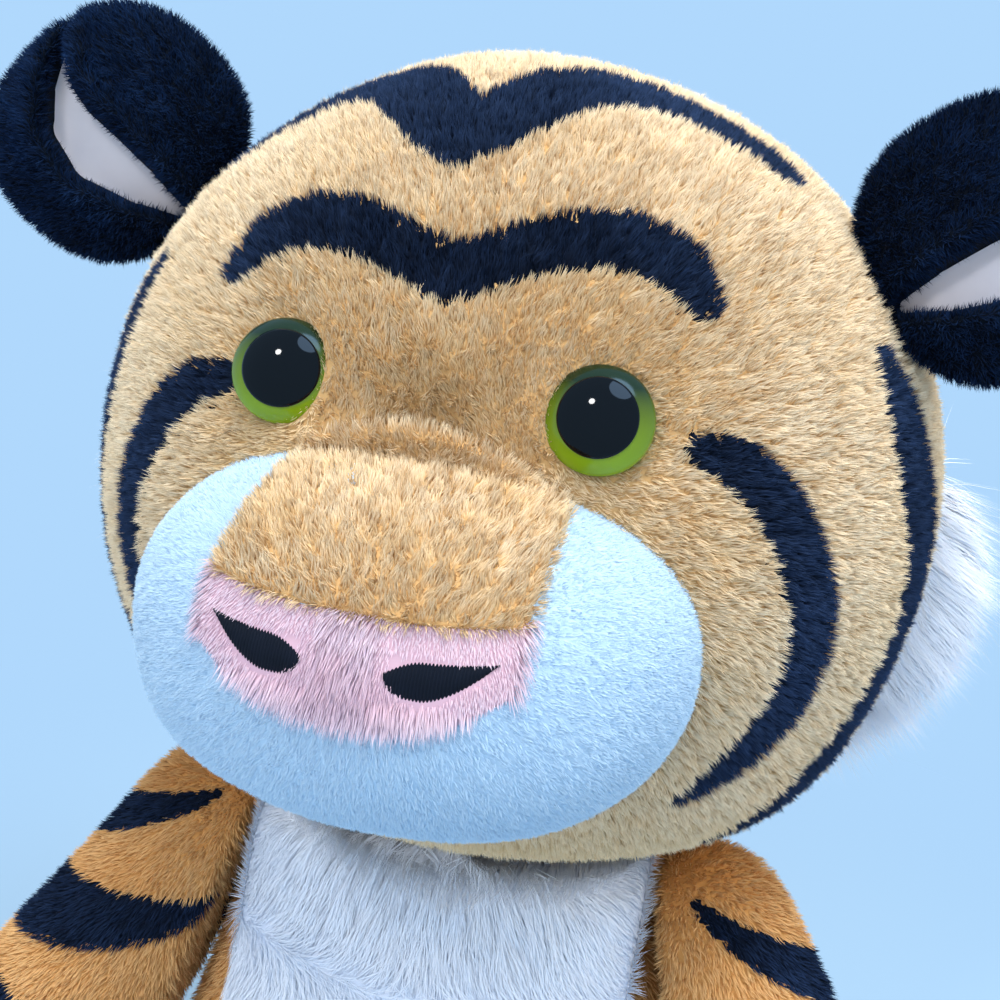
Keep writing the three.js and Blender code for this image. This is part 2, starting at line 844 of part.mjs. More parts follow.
for (const [name, side] of [["left", 1], ["right", -1]]) {
  addPiece(`nostril_${name}`, nostril(side), plush(colours.blackPlush));
  addPiece(`eye_${name}`, eyeButton(side), plastic(colours.blackPlastic));
  addPiece(`iris_${name}`, eyeCollar(side), plastic(colours.greenPlastic));
  addPiece(`eye_washer_${name}`, eyeWasher(side), plastic(colours.whitePlastic));
  addPiece(`ear_${name}`, earShell(side), plush(colours.blackPlush));
  addPiece(`ear_lining_${name}`, earLining(side), plush(colours.greyLining));
  addPiece(`cheek_ruff_${name}`, ruff(side), plush(colours.whitePlush));
  addPiece(`arm_${name}`, arm(side), plush(colours.goldenPlush));
  addPiece(`leg_${name}`, leg(side), plush(colours.goldenPlush));
  addPiece(`foot_sole_${name}`, footSole(side), plush(colours.whitePlush));
}

export default group;
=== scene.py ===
"""Looks of the plush tiger: furry skins, eyes, face panels and the stage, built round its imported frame."""

import json
import math

import bmesh
import bpy
import numpy as np
from mathutils import Matrix, Vector, noise
from mathutils.bvhtree import BVHTree


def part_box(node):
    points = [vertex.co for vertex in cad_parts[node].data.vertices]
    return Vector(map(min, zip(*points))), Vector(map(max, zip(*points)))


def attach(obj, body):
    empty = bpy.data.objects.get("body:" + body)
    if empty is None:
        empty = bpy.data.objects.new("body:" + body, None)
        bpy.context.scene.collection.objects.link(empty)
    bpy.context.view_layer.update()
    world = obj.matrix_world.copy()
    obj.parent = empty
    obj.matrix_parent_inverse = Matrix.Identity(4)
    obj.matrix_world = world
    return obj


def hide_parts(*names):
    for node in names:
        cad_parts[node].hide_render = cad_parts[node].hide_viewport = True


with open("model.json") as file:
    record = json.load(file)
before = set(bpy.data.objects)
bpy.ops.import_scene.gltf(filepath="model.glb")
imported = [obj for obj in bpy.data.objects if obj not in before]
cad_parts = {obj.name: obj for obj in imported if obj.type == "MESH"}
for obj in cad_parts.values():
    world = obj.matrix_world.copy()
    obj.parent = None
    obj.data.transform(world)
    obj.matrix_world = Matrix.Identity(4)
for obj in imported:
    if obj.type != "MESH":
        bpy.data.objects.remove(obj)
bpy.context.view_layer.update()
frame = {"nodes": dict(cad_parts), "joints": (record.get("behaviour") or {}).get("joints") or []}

bl_info = {
    "name": "Plush tiger looks",
    "version": (1, 0, 0),
    "blender": (4, 5, 0),
    "location": "View3D > Sidebar > Tiger",
    "description": "Builds the furry skins, eyes, face panels and stage of a plush tiger on its frame",
    "category": "Object",
}

# Units: lengths are metres, and tables in millimetres are turned by MM

MM = 0.001
SIDES = {"left": 1, "right": -1}
UP = np.array([0.0, 0.0, 1.0])
DOWN = -UP
FRONT = np.array([0.0, -1.0, 0.0])

# Head: an ellipsoid with the frame's box, drawn in by the height to which the pile stands

PILE_RISE = 1.5 * MM
HEAD_LOW, HEAD_HIGH = (np.array(corner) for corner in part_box("head"))
HEAD_CENTRE = (HEAD_LOW + HEAD_HIGH) / 2
HEAD_RADII = (HEAD_HIGH - HEAD_LOW) / 2
SKIN_RADII = HEAD_RADII - PILE_RISE
BALL_SUBDIVISIONS = 6
HEAD_LUMP = 0.9 * MM
HEAD_LUMP_SIZE = 34 * MM
# Dents and swellings of the stuffing in millimetres, from the head front's middle: x, z, radius, height
HEAD_SWELLINGS = [
    (0, 28, 13, 2.2), (0, 17, 8, -2.6), (25, 21.7, 10, -1.6), (36, -6, 18, 1.6), (26, 40, 14, 1.0),
]
SWELLING_FALL = 1.5
# Jowls: the fullest place, its size and how far they stand out
JOWL_MIDDLE = np.array([50, -18, -46]) * MM
JOWL_RADIUS = 32 * MM
JOWL_RISE = 5.5 * MM
# The pile's tone: paler away from the brow's middle, patchy, and darkened with painted shade on the jaw
# between two depths
TONE_MIDDLE_RISE = 20 * MM
TONE_HALF_WIDTH = 62 * MM
TONE_HALF_HEIGHT = 60 * MM
TONE_NEAR_SHARE = 0.25
FACE_TONE = 0.34
CHEEK_TONE_GAIN = 0.34
TONE_PATCH_GAIN = 0.22
TONE_PATCH_SIZE = 16 * MM
JAW_HIGH = 36 * MM
JAW_LOW = 62 * MM
JAW_PAINTED_SHADE = 0.35
# The pile is thinner on the head's back, and reaches a little under the pieces beside it
BACK_SHARE = 0.4
BACK_FADE = 30 * MM
EDGE_COVER_SHARE = 0.97

# Muzzle: a fuller ellipsoid in front of the head

MUZZLE_OFFSET = np.array([0, -59, -13.5]) * MM
MUZZLE_CENTRE = HEAD_CENTRE + MUZZLE_OFFSET
MUZZLE_RADII = np.array([42, 41, 27.5]) * MM
MUZZLE_FULLNESS = 2.3
MUZZLE_PILE_RISE = 0.6 * MM
MUZZLE_KEPT_SHARE = 0.8
MUZZLE_LUMP = 0.4 * MM
MUZZLE_LUMP_SIZE = 15 * MM
PANEL_RISE = 0.7 * MM
PANEL_TUCK = 2.2 * MM
PANEL_EDGE_SHARE = 0.07
PANEL_MERGE = 3 * MM

# Nose bridge and nose in front view, from the middle of the head

BRIDGE_HALF_WIDTH = 20.8 * MM
BRIDGE_TOP_NARROWING = 1.0 * MM
BRIDGE_TOP_SHIFT = 1.6 * MM
BRIDGE_TOP_TILT = 1.9 * MM
BRIDGE_TOP = 17.5 * MM
BRIDGE_TOP_FALL = 6.4 * MM
BRIDGE_LOW = -2.2 * MM
BRIDGE_LOW_RISE = 1.0 * MM
BRIDGE_GRID = (48, 72)
NOSE_HALF_WIDTH = 21 * MM
NOSE_GRID = (44, 80)
NOSE_RISE = 0.3 * MM
NOSE_TUCK = 0.8 * MM
NOSE_TONE_TOP = -8 * MM
NOSE_TONE_EDGE = 5 * MM
NOSE_PILE_SHARE = 0.9
SEAM_OVERLAP = 1.2 * MM
NOSE_SHOULDER = -8 * MM
NOSE_LOW = -14.8 * MM
NOSE_LOW_POWER = 2.2
NOSTRIL_INNER = 5.2 * MM
NOSTRIL_OUTER = 18.2 * MM
NOSTRIL_TOP = -4.6 * MM
NOSTRIL_HEIGHT = 5.6 * MM
NOSTRIL_ROUND_SHARE = 0.36
NOSTRIL_POINT_POWER = 1.6
# The nose's pile is bare over a nostril and short round it, in shares of its width from its middle
NOSTRIL_BARE_HALF = 0.48
NOSTRIL_SHORT_HALF = 0.6
NOSTRIL_PILE_SHARE = 0.3
NOSTRIL_SHOULDER = 2.2 * MM
NOSTRIL_RISE = 0.9 * MM
NOSTRIL_SINK = 0.3 * MM
NOSTRIL_ROWS = 14
STITCH_PITCH = 0.42 * MM
STITCH_DEPTH = 0.14 * MM
STITCH_COLUMNS = 8

# Eyes: a green collar and a black dome on the head's ellipsoid

EYE_X = 22.6 * MM
EYE_RISE = 21.7 * MM
EYE_CLEAR_RADIUS = 6.9 * MM
EYE_COVER_DEPTH = 8 * MM
EYE_SINK = 0.7 * MM
# How far each eye faces inwards, by side as in SIDES
EYE_INWARD_TURNS = {1: math.radians(16), -1: math.radians(24)}
EYE_FLOW_RADIUS = 15 * MM
EYE_FLOW_STRENGTH = 1.2
EYE_PILE_LOSS = 0.45
EYE_PILE_REACH = 6 * MM
# The collar's rows of radius and height, from inside the head to the pupil, and the first row that shows
COLLAR_PROFILE = np.array([
    (7.0, -5.0), (7.6, -4.2), (7.65, -0.8), (7.55, -0.2), (7.3, 0.12), (6.95, 0.5), (6.5, 0.92), (6.0, 1.27),
    (5.5, 1.57), (5.0, 1.7),
]) * MM
COLLAR_RIM_ROW = 3
# The collar's colour runs between these shares of its radius from the eye's middle height: a painted glow at
# its low edge, painted shade at its top
COLLAR_PAINTED_LIGHT_SHARES = (-0.7, 0.6)
PUPIL_RADIUS = 5.55 * MM
PUPIL_SKIRT = 0.8 * MM
DOME_RADIUS = 10.9 * MM
DOME_CENTRE_DEPTH = 7.6 * MM
DOME_RINGS = 18
EYE_SEGMENTS = 72
SMALLEST_RADIUS = 0.001 * MM

# Head stripes in front view, in millimetres from the middle of the head: x, z and half width, mirrored

BROW_STRIPE = [
    (0, 37.6, 4.8), (4.4, 39.2, 4.4), (9, 41.3, 4.3), (16.5, 43.4, 4.9), (24.6, 43.3, 5.2), (30.5, 40.6, 5.0),
    (34.7, 35.8, 3.2),
]
CROWN_STRIPE = [
    (0, 54, 2.6), (3.4, 58.2, 5.6), (8, 63.2, 7.4), (13, 66.6, 7.8), (19, 67.4, 7.8), (26, 66.4, 7.4),
    (33, 63.6, 6.8), (40, 59.8, 6.2), (44.6, 56.8, 5.4), (46.8, 55.2, 5.0),
]
INNER_CHEEK_STRIPE = [
    (35, 18.6, 2.6), (40.9, 16.4, 3.8), (46.4, 11.2, 4.5), (50.2, 5.4, 4.7), (54.2, -4, 5.0),
    (54.8, -13.8, 5.3), (52.3, -23.2, 5.2), (46.2, -32.4, 4.2), (39.6, -40, 1.6),
]
OUTER_CHEEK_STRIPE = [
    (59.8, 30.8, 3.6), (64.5, 22.6, 6.2), (68.8, 12, 7.2), (72, 0.5, 8.0), (71.8, -12, 8.2),
    (67.4, -24.5, 7.8), (60.9, -35.1, 7.0), (51.2, -47.5, 5.4), (44, -53.5, 2.2),
]
# The toy's stripes sit a little askew: those of the forehead turned in front view and moved to the side,
# and those of the cheeks turned about the head's upright axis
FOREHEAD_STRIPES = [(BROW_STRIPE, math.radians(4.1), 1.7 * MM), (CROWN_STRIPE, math.radians(4.9), -1.0 * MM)]
CHEEK_STRIPES = [(INNER_CHEEK_STRIPE, math.radians(1.8)), (OUTER_CHEEK_STRIPE, math.radians(3.5))]
NAPE_STRIPES = [
    [(0, 52, 4), (20, 50, 4.4), (38, 42, 4), (52, 30, 1.5)],
    [(0, 26, 4), (24, 24, 4.6), (46, 16, 4.2), (60, 5, 1.5)],
    [(0, -3, 4), (26, -5, 4.4), (44, -13, 3.6), (56, -22, 1.2)],
]

# Bands of the limbs and body in millimetres: place along the axis, half width, reach round the axis in
# degrees, slant. A limb's axis runs from its first point to its second, and its bands start on the side given

ARM_BANDS = [(14, 5.8, 106, -25), (35, 8.2, 154, -29), (54, 5.4, 112, -8), (76, 4.4, 130, -12)]
ARM_LINE = [(52, -28, 128), (94, -49, 62)]
ARM_BAND_SIDE = np.array([1, 0.5, 0.4])
LEG_BANDS = [(-16, 4.6, 110, 6), (8, 5.0, 105, 6), (32, 4.6, 115, 4), (56, 4.2, 120, 2), (78, 3.4, 110, 0)]
LEG_LINE = [(54, -12, 30), (57, -104, 24.5)]
LEG_BAND_SIDE = np.array([0.6, 0, 1])
BODY_BANDS = [
    (18, 4.4, 112, -8), (42, 5.0, 104, -10), (66, 5.0, 112, -8), (90, 4.6, 104, -6), (112, 4.0, 116, -4),
]
TAIL_BANDS = [(20, 4.6, 400, 0), (48, 4.8, 400, 0), (76, 5.0, 400, 0), (104, 5.2, 400, 0), (132, 5.4, 400, 0)]
TAIL_ROUTE = np.array([(0, 46, 25), (14, 70, 24), (38, 90, 20), (66, 96, 16), (90, 84, 14)]) * MM
TAIL_HEIGHT_WEIGHT = 0.2

# Ears, in the ear's own plane: along the root, reach from the root, and thickness

EAR_REACH = np.array([0.793, -0.171, 0.585])
EAR_HALF_WIDTH = 22.5 * MM
EAR_HALF_REACH = 20.5 * MM
EAR_MIDDLE_REACH = 14.5 * MM
EAR_ROUNDNESS = 2.35
EAR_FRONT_THICKNESS = 8.5 * MM
EAR_BACK_THICKNESS = 5.5 * MM
EAR_RIM_POWER = 2.6
EAR_EDGE_POWER = 0.5
EAR_RINGS = 56
EAR_RING_POWER = 0.8
EAR_SPOKES = 168
CLEFT_DEPTH = 6.5 * MM
CLEFT_WALL = 2.2 * MM
CLEFT_WALL_OUTER_SHARE = 0.6
CLEFT_FLOOR_SHARE = 0.5
CLEFT_BARE_EDGE = 0.2 * MM
# The cleft's middle line in millimetres: along, reach, half width
CLEFT_LINE = [
    (3.4, -2, 2.2), (4.8, 5.5, 4.4), (5.8, 14, 5.8), (4.8, 20, 4.8), (1, 26, 2.6), (-5, 31, 1.0),
    (-12, 34, 0.5),
]
CLEFT_LIP = 1.8 * MM
CLEFT_LIP_WIDTH = 2.2 * MM
CLEFT_LIP_POWER = 4
LINING_RISE = 1.6 * MM
LINING_MARGIN = 1.6 * MM
LINING_EDGE_SHARE = 0.88

# Bib and ruffs: between two heights the bib's pile turns from hanging to standing up under the chin

LONG_PILE_RISE = 0.5 * MM
RUFF_DROP = 0.4
BIB_SPREAD = 7
BIB_CHIN_LEAN = 0.9
BIB_CONTACT_REACH = 0.9 * MM
BIB_FLUFF_LOW = 112 * MM
BIB_FLUFF_HIGH = 129 * MM
BIB_RISE = 12 * MM
BIB_TOP_PILE_SHARE = 0.8
BIB_SIDE_SHARE = 0.6
BIB_SIDE_PILE_SHARE = 0.5

# Skins made from the frame's soft solids

SKIN_VOXEL = 1.6 * MM
SEAT_VOXEL = 0.9 * MM
SOLE_VOXEL = 0.8 * MM
SKIN_SOFTNESS = 0.5
SKIN_SMOOTHING = 10
SKIN_LUMP = 0.8 * MM
SKIN_LUMP_SIZE = 26 * MM
CONTACT_REACH = 1.6 * MM

# Coats: how the pile of each piece lies, beside the lengths and densities that a user can set. Density is
# in hairs per square millimetre, lean, clump, scatter and lock are shares of the skin's normal

HEAD_COAT = {
    "lean": 0.8, "clump": 1.5, "clump_size": 5 * MM, "scatter": 0.3, "lock": 0.9, "lock_size": 1.4 * MM,
    "gather": 0.6,
}
MUZZLE_COAT = {
    "density": 14.0, "length": 0.8 * MM, "width": 0.15 * MM, "lean": 1.2, "clump": 0.6, "clump_size": 4 * MM,
    "scatter": 0.3,
}
BRIDGE_COAT = {
    **HEAD_COAT, "density": 14.0, "length": 1.8 * MM, "width": 0.22 * MM, "lean": 0.6, "clump_size": 4 * MM,
    "lock": 1.0,
}
NOSE_COAT = {
    "density": 12.0, "length": 2.8 * MM, "width": 0.2 * MM, "lean": 1.8, "clump": 0.5, "clump_size": 3 * MM,
    "scatter": 0.22,
}
EAR_COAT = {
    "density": 10.5, "width": 0.24 * MM, "lean": 0.5, "clump": 1.6, "clump_size": 2.4 * MM, "scatter": 0.6,
    "lock": 0.6,
}
LONG_COAT = {
    "clump_size": 8 * MM, "lock": 0.5, "lock_size": 4 * MM, "gather": 0.8, "twist": 0.1,
    "blade": "long_blade",
}
RUFF_COAT = {
    **LONG_COAT, "density": 5.0, "length": 16 * MM, "width": 0.18 * MM, "lean": 1.6, "clump": 1.5,
    "scatter": 0.3,
}
BIB_COAT = {
    **LONG_COAT, "density": 5.2, "length": 11 * MM, "width": 0.2 * MM, "lean": 2.6, "clump": 1.6,
    "scatter": 0.35,
}
BODY_COAT = {
    "lean": 0.9, "clump": 0.9, "clump_size": 5 * MM, "scatter": 0.3, "lock": 0.6, "lock_size": 1.8 * MM,
}
SEAT_COAT = {"density": 1.0, "length": 1.0 * MM, "width": 0.3 * MM}
SOLE_COAT = {"density": 6.0, "length": 1.2 * MM, "width": 0.24 * MM, "clump": 0.7}
# The body's and the legs' pile is thinner than the arms' and the tail's
BODY_SHARE = 0.7

# Blades: sections and droop of each, and how much the hairs differ in length and width

BLADES = {"short_blade": (1, 0), "long_blade": (2, 0.3)}
BLADE_TAPER_POWER = 1.6
HAIR_LENGTH_SHARES = (0.8, 1.15)
HAIR_WIDTH_SHARES = (0.8, 1.2)
CLUMP_DETAIL = 4.0
CLUMP_ROUGHNESS = 0.62
LOCK_SWIRL = 0.7
# Locks stand highest in their middle, where painted light brightens them, and fall to painted shade at their
# edges
LOCK_RIDGE_FALL = 2.0
LOCK_RIDGE_TOP = 0.8
LOCK_HEIGHT_SHARE = 0.22
PILE_INPUTS = (
    "Density", "Length", "Width", "Lean", "Clump", "Clump Size", "Scatter", "Lock", "Lock Size", "Gather",
    "Twist",
)

# Camera, worked out from pairs of points that are symmetrical on the face

CAMERA_AZIMUTH = math.radians(10.3)
CAMERA_ELEVATION = math.radians(12)
CAMERA_ROLL = math.radians(7.2)
CAMERA_DISTANCE = 0.224
CAMERA_LENS = 39.96
CAMERA_SENSOR = 36
CAMERA_SHIFT = (-0.02, -0.045)
CAMERA_CLIP_START = 10 * MM

# Stage: lights have a place, a size, a power, a colour, and whether the eyes mirror them

BACKDROP_COLOUR = "#B0D8FD"
AMBIENT_COLOUR = "#C6D9F0"
AMBIENT_STRENGTH = 0.8
FLOOR_COLOUR = "#9DBDD6"
FLOOR_HALF = 3.0
FLOOR_FADE = (0.15, 0.4)
LIGHTS = [
    ("key", (0.05, -0.2, 1.28), 0.55, 11, "#FFEFD8", False),
    ("side", (0.78, -0.25, 0.92), 0.5, 5.4, "#FFEFD8", False),
    ("fill", (-0.25, -1.1, 0.05), 1.4, 6.0, "#FFF2E4", False),
    ("window", (0.3, -0.33, 1.08), 0.5, 4.5, "#A8CCF4", True),
    ("spark", (-0.25, -0.75, 0.9), 0.14, 3, "#FFFFFF", True),
]

# Palette map: the pile's colour runs along u, and from root to tip along v, the root darkened as painted
# shade

PALETTE_MAP = "OFBake"
PALETTE_PLAIN = (0.04, 0.44)
PALETTE_DARK = (0.62, 0.96)
PALETTE_SPLIT = 0.53
PALETTE_SPREAD = 0.004
PALETTE_ROOT_BAND = 0.03
EDGE_JITTER = 0.25 * MM
SHADE_SHARE = 0.22
HEAD_STRIPE_LEAD = 0.7 * MM
ROOT_SHADE_POWER = 0.7
PILE_ROUGHNESS = 0.85
PILE_SPECULAR = 0.15

# Node kinds and settings that come up again and again

MATH = "ShaderNodeMath"
VECTOR_MATH = "ShaderNodeVectorMath"
MIX = "ShaderNodeMix"
RANDOM = "FunctionNodeRandomValue"
COLOUR_MIX = {"data_type": "RGBA"}
ADD = {"operation": "ADD"}
SUBTRACT = {"operation": "SUBTRACT"}
MULTIPLY = {"operation": "MULTIPLY"}
MULTIPLY_ADD = {"operation": "MULTIPLY_ADD"}
DIVIDE = {"operation": "DIVIDE"}
SCALE = {"operation": "SCALE"}
HALF_EACH = (0.5, 0.5, 0.5)


def linear(hex_colour):
    """The linear colour of an sRGB hex code."""
    values = [int(hex_colour[i:i + 2], 16) / 255 for i in (1, 3, 5)]
    return [v / 12.92 if v <= 0.04045 else ((v + 0.055) / 1.055) ** 2.4 for v in values]


def unit(vectors):
    """Vectors of length one."""
    vectors = np.asarray(vectors, float)
    return vectors / np.maximum(np.linalg.norm(vectors, axis=-1, keepdims=True), 1e-12)


def smooth_step(values, low, high):
    """0 below low, 1 above high, and an even curve between."""
    share = np.clip((values - low) / (high - low), 0, 1)
    return share * share * (3 - 2 * share)


def noise_at(points, size, seed=0.0):
    """Smooth noise from -1 to 1 at each point."""
    shift = Vector((seed, seed * 0.7, -seed))
    return np.array([noise.noise(Vector(p) / size + shift) for p in points])


# Node and mesh helpers


def add_node(tree, kind, settings=None, **inputs):
    """Adds a node, sets its settings, and sets or links its inputs by name."""
    node = tree.nodes.new(kind)
    for name, value in (settings or {}).items():
        setattr(node, name, value)
    for name, value in inputs.items():
        socket = node.inputs[int(name[1:])] if name[1:].isdigit() else node.inputs[name.replace("_", " ")]
        if isinstance(value, bpy.types.NodeSocket):
            tree.links.new(value, socket)
        else:
            socket.default_value = value
    return node


def mesh_object(name, points, faces):
    """A linked mesh object from points and faces."""
    mesh = bpy.data.meshes.new(name)
    mesh.from_pydata(np.asarray(points).tolist(), [], faces)
    mesh.update()
    piece = bpy.data.objects.new(name, mesh)
    bpy.context.scene.collection.objects.link(piece)
    return piece


def points_of(mesh):
    """The mesh's points as an array."""
    values = np.empty(len(mesh.vertices) * 3)
    mesh.vertices.foreach_get("co", values)
    return values.reshape(-1, 3)


def normals_of(mesh):
    """The mesh's point normals as an array."""
    values = np.empty(len(mesh.vertices) * 3)
    mesh.vertex_normals.foreach_get("vector", values)
    return values.reshape(-1, 3)


def move_points(mesh, points):
    """Gives the mesh new points."""
    mesh.vertices.foreach_set("co", np.asarray(points, float).ravel())
    mesh.update()


def keep(mesh, name, values, kind="FLOAT"):
    """Keeps one value or vector for each point of the mesh."""
    attribute = mesh.attributes.get(name) or mesh.attributes.new(name, kind, "POINT")
    key = "vector" if kind == "FLOAT_VECTOR" else "value"
    attribute.data.foreach_set(key, np.asarray(values, np.float32).ravel())


def kept(mesh, name, fallback=0.0):
    """The values kept under that name."""
    attribute = mesh.attributes.get(name)
    if attribute is None:
        return np.full(len(mesh.vertices), fallback)
    values = np.empty(len(mesh.vertices), np.float32)
    attribute.data.foreach_get("value", values)
    return values


def evaluated(piece):
    """Replaces a piece that has modifiers by its plain result."""
    graph = bpy.context.evaluated_depsgraph_get()
    mesh = bpy.data.meshes.new_from_object(
        piece.evaluated_get(graph), preserve_all_data_layers=True, depsgraph=graph
    )
    name = piece.name
    bpy.data.objects.remove(piece)
    result = bpy.data.objects.new(name, mesh)
    bpy.context.scene.collection.objects.link(result)
    result.name = name
    return result


def unit_ball():
    """Points and faces of an even ball of radius one."""
    ball = bmesh.new()
    bmesh.ops.create_icosphere(ball, subdivisions=BALL_SUBDIVISIONS, radius=1)
    points = np.array([v.co[:] for v in ball.verts])
    faces = [[v.index for v in f.verts] for f in ball.faces]
    ball.free()
    return points, faces


def kept_faces(faces, wanted):
    """Faces whose points are all wanted, and the points that they use, renumbered."""
    table = np.array(faces)
    table = table[wanted[table].all(axis=1)]
    used = np.unique(table)
    number = np.full(len(wanted), -1)
    number[used] = np.arange(len(used))
    return used, number[table].tolist()


def grid_faces(rows, columns, closed=False):
    """Quads of a grid of points, row by row, closed round each row if asked."""
    faces = []
    for row in range(rows - 1):
        for column in range(columns if closed else columns - 1):
            here = row * columns + column
            beside = row * columns + (column + 1) % columns
            faces.append((here, beside, beside + columns, here + columns))
    return faces


def faces_towards(points, faces, direction):
    """The faces, all turned round if together they look away from the direction."""
    corners = points[np.array([f[:3] for f in faces])]
    normals = np.cross(corners[:, 1] - corners[:, 0], corners[:, 2] - corners[:, 0])
    return faces if normals.sum(axis=0) @ direction > 0 else [tuple(reversed(f)) for f in faces]


def tree_of(node_names):
    """A search tree of the frame's solids."""
    graph_points, graph_faces = [], []
    for name in node_names:
        mesh = frame["nodes"][name].data
        start = len(graph_points)
        graph_points += [v.co[:] for v in mesh.vertices]
        graph_faces += [[start + v for v in f.vertices] for f in mesh.polygons]
    return BVHTree.FromPolygons(graph_points, graph_faces)


def clear_of(points, node_names, reach=CONTACT_REACH):
    """1 where a point is further than reach from the frame's solids, else 0."""
    search = tree_of(node_names)
    found = [search.find_nearest(Vector(p), reach)[0] is None for p in points]
    return np.array(found, float)


# Stripes


def line_distance(points, line):
    """Signed distance from a line with a changing half width: rows of x, y, z and half width."""
    line = np.asarray(line, float)
    best = np.full(len(points), 1.0)
    for start, end in zip(line[:-1], line[1:]):
        span = end[:3] - start[:3]
        share = np.clip((points - start[:3]) @ span / max(span @ span, 1e-12), 0, 1)
        near = start[:3] + share[:, None] * span
        width = start[3] + share * (end[3] - start[3])
        best = np.minimum(best, np.linalg.norm(points - near, axis=1) - width)
    return best


def on_head(rows, y_sign):
    """A stripe's rows laid on the front (-1) or the back (1) of the head's skin, in metres."""
    line = []
    for x, z, width in rows:
        inside = 1 - (x * MM / SKIN_RADII[0]) ** 2 - (z * MM / SKIN_RADII[2]) ** 2
        y = y_sign * SKIN_RADII[1] * math.sqrt(max(inside, 0))
        line.append((x * MM, y, z * MM, width * MM))
    return line


def mirrored(local):
    """The points with all of them on the left side."""
    return np.abs(local) * (1, 0, 0) + local * (0, 1, 1)


def head_stripes(local):
    """Signed distance from the head's stripes, for points from the middle of the head."""
    x, y, z = local.T
    distances = []
    for rows, turn, shift in FOREHEAD_STRIPES:
        c, s = math.cos(turn), math.sin(turn)
        askew = np.stack([c * (x - shift) + s * z, y, c * z - s * (x - shift)], axis=1)
        distances.append(line_distance(mirrored(askew), on_head(rows, -1)))
    for rows, turn in CHEEK_STRIPES:
        c, s = math.cos(turn), math.sin(turn)
        askew = np.stack([c * x + s * y, c * y - s * x, z], axis=1)
        distances.append(line_distance(mirrored(askew), on_head(rows, -1)))
    distances += [line_distance(mirrored(local), on_head(rows, 1)) for rows in NAPE_STRIPES]
    return np.min(distances, axis=0)


def band_stripes(along, angle, bands):
    """Signed distance from bands that lie across an axis and narrow to points."""
    best = np.full(len(along), 1.0)
    for place, half_width, reach, slant in bands:
        share = np.abs(angle) / math.radians(reach)
        width = half_width * MM * np.sqrt(np.clip(1 - share ** 4, 0, 1))
        middle = place * MM + slant * MM * share ** 2
        distance = np.where(share < 1, np.abs(along - middle) - width, 1.0)
        best = np.minimum(best, distance)
    return best


def round_axis(points, start, end, outward):
    """Each point's place along an axis and its angle round it from the outward direction."""
    start, end = np.asarray(start, float), np.asarray(end, float)
    axis = unit(end - start)
    local = points - start
    along = local @ axis
    out = unit(np.asarray(outward, float) - (np.asarray(outward, float) @ axis) * axis)
    across = np.cross(axis, out)
    return along, np.arctan2(local @ across, local @ out)


# Pile: blades placed by Geometry Nodes over a skin


def blade_object(name, sections, droop):
    """One hair along x, from its root at 0 to its tip at 1, narrowing to a point."""
    rows = [(i / sections, 0.5 * (1 - (i / sections) ** BLADE_TAPER_POWER)) for i in range(sections)]
    points = []
    for x, half in rows:
        points += [(x, -half, -droop * x * x), (x, half, -droop * x * x)]
    points.append((1, 0, -droop))
    faces = [(2 * i, 2 * i + 2, 2 * i + 3, 2 * i + 1) for i in range(sections - 1)]
    faces.append((2 * sections - 2, 2 * sections, 2 * sections - 1))
    blade = mesh_object(name, points, faces)
    keep(blade.data, "along", [p[0] for p in points])
    return blade


